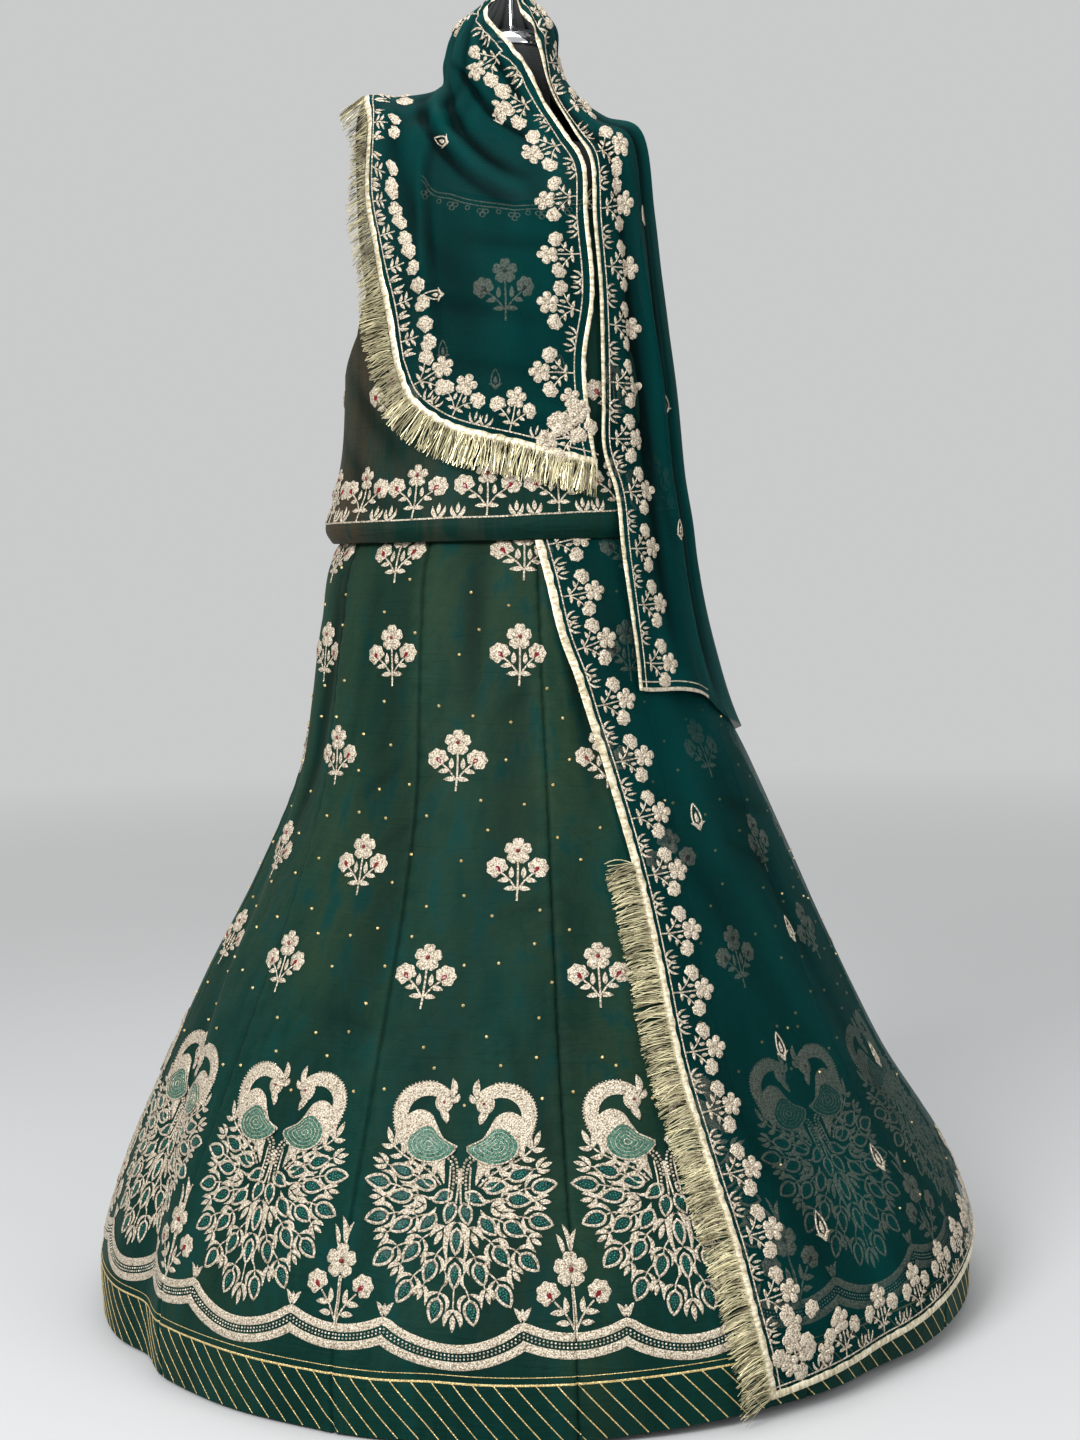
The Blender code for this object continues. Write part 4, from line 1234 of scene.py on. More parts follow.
# %% Flowers and sprigs
def flower(petals, reach, width=0.40, stone=True, points=14):
    """An open flower: notched petals round a knot of thread. width is half a petal's, for a reach of 1."""
    made = Motif()
    around = np.linspace(0, 2 * np.pi, points, endpoint=False)
    up = 0.56 - 0.46 * np.cos(around)
    half = width * np.sin(around) * (0.55 + 0.6 * up)
    up = up - 0.07 * np.exp(-((half / 0.12) ** 2)) * (up > 0.6)
    petal = Motif()
    petal.pad(np.stack([half, up], -1) * reach, 1.5, inner=0.62)
    for number in range(petals):
        made.include(petal, (0, 0), 360 / petals * number)
    made.dot((0, 0), reach * 0.17, "embroidery_thread", 1.7, 7)
    if stone:
        made.base = 1.1
        made.dot((0, 0), 2.4, "red_stones", 1.5, 7)
    return made


def bloom(radius, facing, stone=True, points=30):
    """A ruffled round bloom seen from the side. facing is the direction of its stalk."""
    made = Motif()
    angle = np.linspace(0, 2 * np.pi, points, endpoint=False)
    away = (np.degrees(angle) - facing + 180) % 360 - 180
    reach = radius * (1 + 0.08 * np.cos(angle * 7) - 0.36 * np.exp(-((away / 30) ** 2)))
    made.pad(np.stack([reach * np.cos(angle), reach * np.sin(angle)], -1), 1.4, inner=0.7)
    if stone:
        stalk = np.array([math.cos(math.radians(facing)), math.sin(math.radians(facing))])
        made.base = 1.2
        made.leaf(stalk * radius * 0.60, stalk * -radius * 0.16, radius * 0.54, 0, 1.0, 1.5, "red_stones", 5)
    return made


BLOOM_LEANS = 38  # degrees by which a side bloom leans out


def sprig(height, spread, bloom_height, reach, bloom_reach, leaf=5.4, petal=0.42, stone=True, points=14):
    """The three-flower plant, its foot at (0, 0). spread and bloom_height place the side blooms."""
    made = Motif()
    stalk = 0.16 * leaf + 0.25
    made.band(curve_through(((0, 0), (0.5, height * 0.3), (0, height * 0.85)), 7), stalk, 0.9)
    made.include(flower(5, reach, petal, stone, points), (0, height))
    for side in (-1, 1):
        fork, elbow = (side * 0.5, height * 0.22), (side * spread * 0.36, bloom_height * 0.62)
        tip = (side * spread * 0.8, bloom_height * 0.86)
        made.band(curve_through((fork, elbow, tip), 7), stalk * 0.9, 0.8)
        side_bloom = bloom(bloom_reach, -90 - side * BLOOM_LEANS, stone, points * 2)
        made.include(side_bloom, (side * spread, bloom_height))
        upright = np.array((side * spread * 0.30, bloom_height * 0.68))
        made.leaf(upright, upright + (0, leaf * 2.5), leaf)
        level_leaf = np.array((side * spread * 0.38, bloom_height * 0.63))
        made.leaf(level_leaf, level_leaf + (side * leaf * 2.4, -leaf * 0.3), leaf, 0.06 * side)
        low_leaf = np.array((side * 1.2, height * 0.24))
        made.leaf(low_leaf, low_leaf + (side * leaf * 2.5, -leaf * 0.1), leaf, 0.06 * side)
    return made


def tulip(height, width=0.26, spread=0.42):
    """A small bud of three blades."""
    made = Motif()
    made.leaf((0, height * 0.25), (0, height), height * width)
    for side in (-1, 1):
        made.leaf((0, 0), (side * height * spread, height * 0.78), height * width, -0.16 * side)
    return made


def leaf_drop(height):
    """An outlined drop with a small heart and two blades, scattered over the odhni."""
    made = Motif()
    share = np.linspace(0, 1, 10)
    half = height * 0.21 * np.sin(np.pi * share**0.7) ** 0.8
    right_side = np.stack([half, height * (0.12 + 0.88 * share)], -1)
    made.band(mirrored_outline(right_side), 0.75, 0.8, closed=True)
    made.leaf((0, height * 0.28), (0, height * 0.66), height * 0.17)
    for side in (-1, 1):
        made.leaf((0, 0), (side * height * 0.34, height * 0.30), height * 0.13, 0.2 * side)
    return made


buti = sprig(height=57, spread=22.5, bloom_height=37.5, reach=15.6, bloom_reach=11.6, petal=0.44)
print("a sprig has", sum(len(faces) for _, faces in buti.parts.values()), "triangles")

# %% [markdown]
# The lehenga's show piece is a pair of peacocks that look at each other across the middle of every kali.
# Each bird is a neck that coils over on a wide arc, a padded body that runs down to a point, and a teal
# wing. Their shared train fans out below from one root. Its eyes stand in four rows, and each row reaches
# further straight down than it does sideways, which a cosine gives. An eye is a ring of thread round dark
# sequins. Those of the two outer rows stand on a stem and are hugged by two sepals, and the second row
# carries small buds that fill the gaps of the outer one.

# %% Peacocks
BODY = (
    (44, 104), (33, 99), (26, 86), (18, 73), (4, 66), (14, 59), (16.5, 47), (15.5, 36), (16, 27), (19.5, 33),
    (28, 43), (44, 51), (58, 61), (66, 78), (60, 95),
)
WING = ((31, 86), (22, 76), (5, 63), (14, 54), (28, 48.5), (43, 50), (54, 59), (55.5, 71), (48, 81), (39, 87))
WING_LAPS = ((0.97, 0.8), (0.76, 0.4), (0.56, 0.4), (0.36, 0.4), (0.16, 0.6))  # size and half-width of each
NECK_MIDDLE, NECK_ARC, NECK_POINTS = np.array((37.0, 99.0)), 27.2, 26
HEAD = ((13.5, 117), (21, 120), (29, 117), (30, 109), (25, 102), (16, 103), (12, 110))
PEARLS = (
    ("line", "count"),
    (((16, 56), (9.5, 50), (6.5, 40), (6.5, 26), (8.5, 12)), 13),
    (((12, 58), (5, 52), (3, 42), (3.2, 30)), 9),
    (((20, 27), (24, 34), (31, 40), (38, 44)), 5),
)
SPRAY = ((19, 26), (30, 38), (48, 49), (64, 60), (74, 71))
ROOT = np.array((0.0, 22.0))
TRAIN_SIDE, TRAIN_DEEPER = 86, 44  # reach of the train sideways, and what straight down adds
EYE_LENGTH = 26.0
BUD_SHARE = 0.70  # the row that carries the buds
TRAIN_ROWS = (
    ("share", "leans_out", "size", "angles"),
    (0.97, 4, 0.98, (8.5, 26, 46, 69, 93)),
    (BUD_SHARE, 4, 0.94, (17, 35, 56, 81, 106)),
    (0.43, 2, 0.92, (41, 97)),
    (0.22, -6, 0.84, (22, 68)),
)


def train_eye(width=14.5, sepals=True):
    """One eye of the train, its foot at (0, 0) and its tip upwards."""
    made, length = Motif(), EYE_LENGTH
    share = np.linspace(0, 1, 9)
    half = width / 2 * np.sin(np.pi * share**0.8) ** 0.75
    right_side = np.stack([half, share * length], -1)
    ring_line = mirrored_outline(right_side)
    made.band(ring_line, 1.5, 1.3, closed=True)
    middle = np.array((0, length * 0.46))
    made.pad(middle + (ring_line - middle) * 0.80, 0.35, "eye_ground", 0.7)
    for row, count in ((0.25, 2), (0.36, 3), (0.47, 3), (0.58, 2), (0.69, 1)):
        for i in range(count):
            made.cone(((i - (count - 1) / 2) * 2.9, row * length), 1.1, height=1.0)
    for side in (-1, 1) if sepals else ():
        tip = (side * (width / 2 + 4.0), length * 0.44)
        made.leaf((side * 0.3, -6.5), tip, 4.3, -0.27 * side, blunt=0.9, rows=7)
    return made


def stitch_neck(made):
    """The coiled neck, which widens its arc on the way down, edged with pearls on its outer side."""
    sweep = np.radians(np.linspace(137, -84, NECK_POINTS))
    radius = NECK_ARC + 14 * np.clip((math.radians(-10) - sweep) / 1.25, 0, 1) ** 1.6
    neck = NECK_MIDDLE + radius[:, None] * np.stack([np.cos(sweep), np.sin(sweep)], -1)
    widths = np.interp(np.linspace(0, 1, NECK_POINTS), (0, 0.15, 0.4, 0.7, 1), (6.2, 7.4, 7.8, 7.2, 6.6))
    made.band(neck, widths, 2.0)
    steps = np.gradient(neck, axis=0)
    outside = np.stack([-steps[:, 1], steps[:, 0]], -1) / np.linalg.norm(steps, axis=1, keepdims=True)
    for spot in curve_through((neck + outside * (widths[:, None] + 0.6))[4:], 34):
        made.dot(spot, 1.0, "embroidery_thread", 0.9, 5)


def stitch_body(made):
    """The padded body, the wing on it with its laps of thread, and the head with beak, crest and eye."""
    made.pad(outline_through(BODY, 46), 1.9, inner=0.8)
    made.base = 1.7
    made.pad(outline_through(WING, 30), 0.9, "wing_sequins", 0.8)
    heart = np.mean(WING, 0)
    made.base = 2.3
    for lap, half in WING_LAPS:
        made.band(heart + (outline_through(WING, 26) - heart) * lap, half, 0.7, closed=True)
    made.base = 0.0
    made.pad(outline_through(HEAD, 20), 2.4)
    made.leaf((24, 105), (17, 89.5), 8.0, -0.10, 2.0)
    made.leaf((14, 115), (13, 138), 7.2, 0.10, 1.8, 1.1)
    made.leaf((14, 112), (5.5, 121.5), 6.0, 0.14, 1.6, 1.1)
    made.base = 2.0
    made.dot((20.0, 111.5), 1.9, "red_stones", 1.6, 8)
    made.base = 0.0


print("rows of eyes:", len(TRAIN_ROWS) - 1)


# %% Pearls, spray and train
def stitch_pearls(made):
    """Three strings of pearls and two stems where the bodies meet over the train."""
    for line, count in PEARLS[1:]:
        for spot in curve_through(line, count):
            made.dot(spot, 1.6, "embroidery_thread", 1.5)
    made.band(curve_through(((10.2, 46), (10.2, 28), (10.8, 14), (9.4, 4)), 9), 0.9, 1.0)
    made.band(curve_through(((1.0, 44), (1.2, 24), (2.6, 8)), 8), 1.0, 1.0)


def stitch_spray(made):
    """The leafy spray that rises from under the body."""
    spray = curve_through(SPRAY, 18)
    made.band(spray, 0.95, 0.9)
    for i in (3, 6, 9, 12, 15):
        ahead = (spray[i + 1] - spray[i]) / np.linalg.norm(spray[i + 1] - spray[i])
        aside = np.array([-ahead[1], ahead[0]])
        for side in (-1, 1):
            made.leaf(spray[i], spray[i] + ahead * 9.5 + aside * side * 9.5, 5.4, 0.10 * side)
    made.leaf(spray[-2], spray[-1] + (2, 13), 5.6)


def heading(degrees):
    """A step of one millimetre away from straight down by some degrees."""
    return np.array((math.sin(math.radians(degrees)), -math.cos(math.radians(degrees))))


def stitch_train(made):
    """Half of the train, row by row."""
    eye, bare_eye, bud = train_eye(), train_eye(sepals=False), tulip(17, 0.28, 0.4)
    for share, leans_out, size, angles in TRAIN_ROWS[1:]:
        outer = share > 0.5
        for angle in angles:
            full_reach = TRAIN_SIDE + TRAIN_DEEPER * math.cos(math.radians(angle)) ** 2
            foot = ROOT + heading(angle) * (share * full_reach - EYE_LENGTH / 2)
            ahead = heading(angle + leans_out)
            aside = np.array((ahead[1], -ahead[0]))
            points_to = 180 + angle + leans_out
            made.include(eye if outer else bare_eye, foot, points_to, size)
            if outer:
                start = foot - ahead * 15 + aside * 3
                made.band(curve_through((start, foot - ahead * 8 + aside * 0.6, foot), 5), 0.8, 0.8)
                made.leaf(start - ahead * 13 - aside * 2, start + ahead * 2, 3.6, -0.16, blunt=1.0)
            if share == BUD_SHARE:
                made.include(bud, foot + ahead * 28, points_to)
                made.band(np.linspace(foot + ahead * 24, foot + ahead * 30, 3), 0.6, 0.6)


def peacock_pair():
    """Both birds, a little wider at the top, with the eyes, leaves and buds on the train's middle line."""
    half = Motif()
    for stitch in (stitch_neck, stitch_body, stitch_pearls, stitch_spray, stitch_train):
        stitch(half)
    for points, _ in half.parts.values():
        points[:, 0] *= 1 + 0.07 * ease(-100, 60, points[:, 1])
    made = Motif().include(half).include(half, mirror=True)
    for share in (0.40, 0.67):
        below = (TRAIN_SIDE + TRAIN_DEEPER) * share - EYE_LENGTH / 2
        made.include(train_eye(width=11.5), ROOT - (0, below), 180)
    for side in (-1, 1):
        made.leaf((side * 2.5, -9), (side * 8.5, -53), 4.6, 0.12 * side, blunt=1.0, rows=8)
        made.include(tulip(23, 0.26, 0.34), (side * 13, -15), 180 + side * 27)
        made.include(tulip(20, 0.26, 0.34), (side * 34, 6), 180 + side * 84)
    made.band([(0, -78), (0, -102)], 0.8, 0.7)
    made.include(tulip(24, 0.24, 0.36), (0, -99), 180)
    return made


pair = peacock_pair()
print("a pair of peacocks has", sum(len(faces) for _, faces in pair.parts.values()), "triangles")


# %% [markdown]
# ## Settling motifs on the cloth
# Near a point of a surface, one degree of turn and one metre of level have a length each. Dividing a
# motif's across and up by them gives every stitch its own turn and level, so that a large motif follows the
# flare and the creases. Borders run along an edge, so their sprigs are turned to point into the cloth.

# %% From millimetres to the cloth
def metres_a_degree(laid, turn, level):
    """How long one degree of turn is on a surface."""
    return np.linalg.norm(laid(turn + 0.5, level) - laid(turn - 0.5, level), axis=-1)


def settle(heaps, motif, laid, turn, level, angle=0.0, lift=0.0006, scale=1.0):
    """Lays a motif on a surface, its origin at a turn and a level."""
    c, s = math.cos(math.radians(angle)) * scale, math.sin(math.radians(angle)) * scale
    metre_up = np.linalg.norm(laid(turn, level + 0.01) - laid(turn, level - 0.01)) / 0.02
    for slot, (points, faces) in motif.parts.items():
        across = (c * points[:, 0] - s * points[:, 1]) / MM_IN_M
        at_level = level + (s * points[:, 0] + c * points[:, 1]) / MM_IN_M / metre_up
        at_turn = turn + across / metres_a_degree(laid, turn, at_level)
        height = lift + points[:, 2:] * scale / MM_IN_M
        stitched = laid(at_turn, at_level) + laid.normal(at_turn, at_level) * height
        heaps.setdefault(slot, Heap()).add(stitched, faces, points[:, :2] / MM_IN_M)


def lay_band(heap, laid, line, half_width, height, lift=0.0006, wave=0.0, columns_across=3, seed=1):
    """A raised ribbon along turns and levels. wave makes its sides uneven."""
    place, normal = laid(*line.T), laid.normal(*line.T)
    aside = np.cross(normal, np.gradient(place, axis=0))
    aside /= np.linalg.norm(aside, axis=1, keepdims=True)
    run = np.concatenate([[0], np.cumsum(np.linalg.norm(np.diff(place, axis=0), axis=1))])
    dice = np.random.default_rng(seed)
    uneven = sum(np.sin(run * dice.uniform(120, 420) + dice.uniform(0, 6)) for _ in range(4)) / 4
    rows, threads = [], []
    for fraction in np.linspace(-1, 1, columns_across):
        offset = half_width * fraction * (1 + wave * uneven * (0.6 + 0.4 * fraction))
        up = lift + height * (1 - abs(fraction) ** 2.2) * (1 + 0.5 * wave * uneven)
        rows.append(place + aside * offset[:, None] + normal * up[:, None])
        threads.append(np.stack([np.full_like(run, half_width * fraction), run], -1))
    heap.add(np.stack(rows), grid_faces(columns_across, len(line)), np.stack(threads))


def edge_line(laid, edge, inwards, count=240, side_sign=1, start=0.0, end=1.0):
    """Turns and levels beside an edge, inwards metres into the cloth, with arc lengths and inward angles."""
    steps = 600
    fine = along(edge, steps)[int(steps * start) : max(int(steps * end), 2)]
    turn, level = fine.T
    metre_up = np.linalg.norm(laid(turn, level + 0.005) - laid(turn, level - 0.005), axis=-1) / 0.01
    metres = np.stack([metres_a_degree(laid, turn, level), metre_up], -1)
    flat_run = np.gradient(fine, axis=0) * metres
    length = np.linalg.norm(flat_run, axis=1, keepdims=True)
    inside = np.stack([-flat_run[:, 1], flat_run[:, 0]], -1) / length * side_sign
    moved = fine + inside * inwards / metres
    arc = np.concatenate([[0], np.cumsum(length[1:, 0])])
    at = np.linspace(0, arc[-1], count)
    line = np.stack([np.interp(at, arc, moved[:, i]) for i in (0, 1)], -1)
    angle = np.degrees(np.unwrap(np.arctan2(inside[:, 1], inside[:, 0]))) - 90
    return line, at, np.interp(at, arc, angle)


def finish_heaps(heaps, prefix):
    """One piece for each finish of a garment's embroidery."""
    return [heap.piece(f"{prefix}_{finish}", finish) for finish, heap in sorted(heaps.items())]


print("length of the slanting edge:", edge_line(lower_veil, SLANT_EDGE, 0.0)[1][-1].round(3))


# %% [markdown]
# ## Work on the lehenga
# Each kali carries one pair of peacocks over a wide scallop, and each seam a taller plant over a narrow
# one. Above them the sprigs stand in staggered rows, with single gold beads between. Below the scallops
# come a plain strip, a gold line, and the hem band with its slanting lines.

# %% Peacocks, plants and scallops
skirt_heaps = {}
CUSP, WIDE_LOW, NARROW_LOW = 0.1115, 0.0885, 0.1000  # levels of the points and of the lowest parts
NARROW = 11.8  # degrees under a narrow scallop


def seam_plant():
    """The taller plant on each seam, with three long blades over its flower."""
    made = Motif()
    for x in (-1.4, 1.4):
        made.band(curve_through(((x, 0), (x * 0.9, 30), (x * 0.6 - 1, 52)), 7), 0.85, 0.9)
    made.include(flower(5, 17.5, 0.44), (-2, 66))
    blades = (((-8, 80), (-14.5, 100), -0.08), ((-2, 83), (-8, 109), -0.10), ((0, 80), (6, 104), 0.10))
    for foot, tip, curl in blades:
        made.leaf(foot, tip, 4.8, curl, 1.0, 0.9)
    for side in (-1, 1):
        made.band(curve_through(((side, 8), (side * 8, 22), (side * 20, 36)), 7), 0.95, 0.8)
        made.include(bloom(11.8, -90 - side * BLOOM_LEANS), (side * 26, 43.5))
        for foot, tip in (((9, 24), (9.5, 40)), ((10, 24.5), (25, 24.5)), ((5.5, 14), (19.5, 15))):
            made.leaf((side * foot[0], foot[1]), (side * tip[0], tip[1]), 5.8, 0.06 * side)
    return made


def scallop_line(turn):
    """Level of the scallop band's middle at a turn of the hem."""
    inside = (turn - FIRST_SEAM + NARROW / 2) % PITCH
    narrow = inside < NARROW
    share = np.where(narrow, inside / NARROW, (inside - NARROW) / (PITCH - NARROW))
    low = np.where(narrow, NARROW_LOW, WIDE_LOW)
    return CUSP - (CUSP - low) * np.sin(np.pi * share) ** 0.75


plant = seam_plant()
cusp_leaves = Motif()
cusp_leaves.leaf((0, 4), (0, 15), 4.2)
for side_sign in (-1, 1):
    cusp_leaves.leaf((side_sign * 1.5, 2), (side_sign * 9, 16), 5.0, 0.1 * side_sign)
for number in range(KALIS):
    seam = FIRST_SEAM - number * PITCH
    settle(skirt_heaps, pair, skirt, seam - PITCH / 2, 0.2205)
    settle(skirt_heaps, plant, skirt, seam, 0.1065)
    for cusp in (-NARROW / 2, NARROW / 2):
        settle(skirt_heaps, cusp_leaves, skirt, seam + cusp, 0.121)
print("peacocks settled:", 2 * KALIS)

# %% [markdown]
# The scallop is two satin bands with a track of silver beads between them. The bands are ribbons along the
# scallop's line, one a little above it and one a little below. The gold lines of the hem band under it are
# narrow ribbons too, two that run round and many that slant.

# %% Scallops
HEM_SLANT = 1.06  # metres of cloth for a metre of level, near the hem
HEM_POINTS, TRACK_STEP = 1301, 0.44  # points on a line round the hem, and degrees from bead to bead


def beside_line(turns, levels, shift):
    """A line on the skirt moved by shift metres across its own run, upwards if it is positive."""
    metre_turn = metres_a_degree(skirt, turns, levels).mean()
    run = np.gradient(np.stack([turns * metre_turn, levels * HEM_SLANT], -1), axis=0)
    aside = np.stack([-run[:, 1], run[:, 0]], -1) / np.linalg.norm(run, axis=1, keepdims=True)
    return np.stack([turns + aside[:, 0] * shift / metre_turn, levels + aside[:, 1] * shift / HEM_SLANT], -1)


hem_turns = np.linspace(FIRST_SEAM - 360, FIRST_SEAM, HEM_POINTS)
for shift in (0.0086, -0.0086):
    line = beside_line(hem_turns, scallop_line(hem_turns), shift)
    lay_band(skirt_heaps["embroidery_thread"], skirt, line, 0.0042, 0.0014)
track = Motif()
for up in (1.7, -1.7):
    track.dot((0, up), 1.15, "silver_beads")
for turn in np.arange(FIRST_SEAM - 360, FIRST_SEAM, TRACK_STEP):
    settle(skirt_heaps, track, skirt, turn, float(scallop_line(turn)), lift=0.0003)
print("points on the scallop's line:", len(line))

# %% Gold lines of the hem band
LINE_LEVEL, BAND_LOW = 0.0640, 0.0045
SLANTING_LINES, LINE_RUN = 156, 5.4  # how many, and the degrees that each runs round the hem
gold = skirt_heaps.setdefault("beads", Heap())
for low, half in ((LINE_LEVEL, 0.0011), (LINE_LEVEL + 0.0075, 0.0004)):
    lay_band(gold, skirt, np.stack([hem_turns, np.full(HEM_POINTS, low)], -1), half, 0.0006)
share = np.linspace(0, 1, 9)
for number in range(SLANTING_LINES):
    start = FIRST_SEAM - 360 + number * 360 / SLANTING_LINES
    line = np.stack([start + LINE_RUN * share, LINE_LEVEL + (BAND_LOW - LINE_LEVEL) * share], -1)
    lay_band(gold, skirt, line, 0.0006, 0.0005)
print("slanting lines:", SLANTING_LINES)

# %% [markdown]
# The sprigs of the upper skirt number thirteen in every row too, and each row is shifted against the next.
# They stand a little further apart in front than behind. The beads are thrown by a seeded dice and kept
# only where they are clear of the sprigs and of each other.

# %% Sprigs and beads
BUTI_ROWS = (
    ("foot_level", "offset", "opens"),
    (0.858, 0.5, 9.0),
    (0.742, -1.0, 4.0),
    (0.628, -14.5, 9.5),
    (0.516, -2.0, 8.5),
    (0.408, -17.5, 3.7),
)
CLEAR_OF_SPRIGS, CLEAR_OF_BEADS, THROWS = 0.043, 0.031, 2600


def nearest(spots, turn, level):
    """Metres from a point of the skirt to the nearest of some spots."""
    metre = np.radians(1) * skirt_radius(level)
    gaps = [((turn - at_turn + 180) % 360 - 180, level - at_level) for at_turn, at_level in spots]
    return min((math.hypot(around * metre, up) for around, up in gaps), default=1)


sprigs = []
for foot_level, offset, opens in BUTI_ROWS[1:]:
    for number in range(KALIS):
        turn = offset - number * PITCH - opens * math.sin(math.radians(number * PITCH))
        settle(skirt_heaps, buti, skirt, turn, foot_level, angle=(-2, 3, 0)[number % 3])
        sprigs.append((float(kali_turn(turn, foot_level + 0.03)), foot_level + 0.03))
dice = np.random.default_rng(12)
single = Motif()
single.dot((0, 0), 1.85, "beads", 1.8, 8)
kept = []
for _ in range(THROWS):
    turn, level = dice.uniform(-180, 180), dice.uniform(0.36, 0.885)
    if nearest(sprigs, turn, level) > CLEAR_OF_SPRIGS and nearest(kept, turn, level) > CLEAR_OF_BEADS:
        kept.append((turn, level))
        settle(skirt_heaps, single, skirt, turn, level)
for number in range(KALIS):
    for shift, level in ((-5, 0.352), (5, 0.356), (-12, 0.33), (11, 0.325), (0, 0.318)):
        settle(skirt_heaps, single, skirt, FIRST_SEAM - (number + 0.5) * PITCH + shift, level)
print("single beads:", len(kept))
skirt_work = finish_heaps(skirt_heaps, "lehenga")


# %% [markdown]
# ## Work on the kurti
# The neckline has a double line of thread with a loop and a trefoil in turn. A sprig sits on the chest,
# with a few outlined drops around it, and a row of sprigs with small tulips between runs above the hem, on
# a line of its own.

# %% The kurti's embroidery
kurti_heaps = {}
HEM_LINE = 0.932
HEM_SPRIGS, HEM_STEP, HEM_MIDDLE = 15, 22.6, -9.5
NECK_LIMIT = 36.0
KURTI_SPRIGS = (
    (-3.5, 1.153), (-44, 1.036), (38, 1.036), (108, 1.04), (146, 1.15), (184, 1.04), (220, 1.15), (256, 1.04),
)
KURTI_DROPS = (
    (-7.0, 1.075), (166, 1.14), (202, 1.17), (128, 1.09), (164, 1.03), (206, 1.03), (236, 1.09), (-24, 1.11),
    (16, 1.09),
)


def small_ring(made, middle, half_width, half_height):
    """An outlined ring of thread."""
    t = np.linspace(0, 2 * np.pi, 12, endpoint=False)
    line = np.stack([middle[0] + half_width * np.cos(t), middle[1] + half_height * np.sin(t)], -1)
    made.band(line, 0.7, 0.8, closed=True)


def trefoil():
    made = Motif()
    for middle in ((-3.6, -5.5), (3.6, -5.5), (0, -10.5)):
        small_ring(made, middle, 2.9, 2.9)
    made.leaf((0, -1), (0, -8), 2.0)
    return made


def small_loop():
    made = Motif()
    small_ring(made, (0, -4.2), 2.6, 2.9)
    return made


def hem_droop(turn):
    """How much the line above the hem rises on one side and falls on the other."""
    sine = np.sin(np.radians(turn))
    return 0.006 * sine * (turn > 0) + 0.004 * sine * (turn < 0)


print("triangles in a trefoil:", sum(len(faces) for _, faces in trefoil().parts.values()))

# %% Settling the kurti's embroidery
hem_sprig = sprig(height=52, spread=27, bloom_height=38, reach=14.2, bloom_reach=12.0, leaf=5.0, petal=0.38)
chest_sprig = sprig(height=57, spread=25, bloom_height=38, reach=15.0, bloom_reach=12.0)
hem_tulip = tulip(18)
for number in range(HEM_SPRIGS):
    turn = HEM_MIDDLE + (number - HEM_SPRIGS // 2) * HEM_STEP
    level = HEM_LINE + 0.001 + hem_droop(turn)
    settle(kurti_heaps, hem_sprig, kurti, turn, level)
    for beside_it in (-2.9, 2.9):
        settle(kurti_heaps, hem_tulip, kurti, turn + HEM_STEP / 2 + beside_it, level)
kurti_thread = kurti_heaps["embroidery_thread"]
around = np.linspace(-180, 180, 361)
line = np.stack([around, HEM_LINE + hem_droop(around)], -1)
lay_band(kurti_thread, kurti, line, 0.0010, 0.0009)
neck_turns = np.linspace(-NECK_LIMIT, NECK_LIMIT, 90)
neck_known = columns((("turn", "level"), *NECKLINE_FRONT))
neck_level = smooth_through(neck_known["turn"], neck_known["level"], np.abs(neck_turns))
for lower in (0.006, 0.011):
    line = np.stack([neck_turns, neck_level - lower], -1)
    lay_band(kurti_thread, kurti, line, 0.0009, 0.0009)
for number, turn in enumerate(np.linspace(-33, 33, 13)):
    level = float(smooth_through(neck_known["turn"], neck_known["level"], abs(turn))) - 0.012
    settle(kurti_heaps, small_loop() if number % 2 else trefoil(), kurti, turn, level, angle=turn * 0.35)
for turn, level in KURTI_SPRIGS:
    settle(kurti_heaps, chest_sprig, kurti, turn, level, lift=0.0008)
drop = leaf_drop(24)
for turn, level in KURTI_DROPS:
    settle(kurti_heaps, drop, kurti, turn, level)
print("finishes on the kurti:", sorted(kurti_heaps))
kurti_work = finish_heaps(kurti_heaps, "kurti")


# %% [markdown]
# ## Borders of the odhni
# Every border is built in the same order from the edge inwards: gota ribbon folded over the edge, a dark
# gap, a thin line of thread, and sprigs that stand on that line. Two small tulips fill the space between
# the sprigs. Along the fringe's edge the cloth is folded over the sprigs' tops, so only their leaves and
# side blooms show.

# %% Borders
veil_heaps = {}
border_sprig = sprig(
    height=40, spread=19.5, bloom_height=28, reach=13.0, bloom_reach=9.2, leaf=3.6, petal=0.41, stone=False,
    points=11,
)
border_tulip = tulip(15, 0.17, 0.5)
BORDERS = (
    ("name", "laid", "edge", "side", "start", "gota_half", "line_in"),
    ("odhni_piping_front_inner", shawl, INNER_EDGE, -1, 0.03, 0.0026, 0.0125),
    ("odhni_piping_front_side", shawl, FRINGE_EDGE, 1, 0.0, 0.0042, 0.0120),
    ("odhni_piping_front_lower", shawl, CHEST_EDGE, 1, 0.0, 0.0042, 0.0120),
    ("odhni_piping_right", shawl, RIGHT_EDGE, 1, 0.03, 0.0026, 0.0100),
    ("odhni_piping_back", back_veil, BACK_EDGE, 1, 0.0, 0.0040, 0.0110),
    ("odhni_piping_slant", lower_veil, SLANT_EDGE, 1, 0.0, 0.0046, 0.0115),
    ("odhni_piping_floor", lower_veil, FLOOR_EDGE, 1, 0.0, 0.0040, 0.0100),
)
UNIT, FOLDED_UNIT = 0.0640, 0.0420  # metres from sprig to sprig
FOLDED_LEAVES = (((1, 6), (9, 11)), ((1, 13), (10, 18)), ((16, 0), (12, 14)), ((18, 2), (19, 17)))


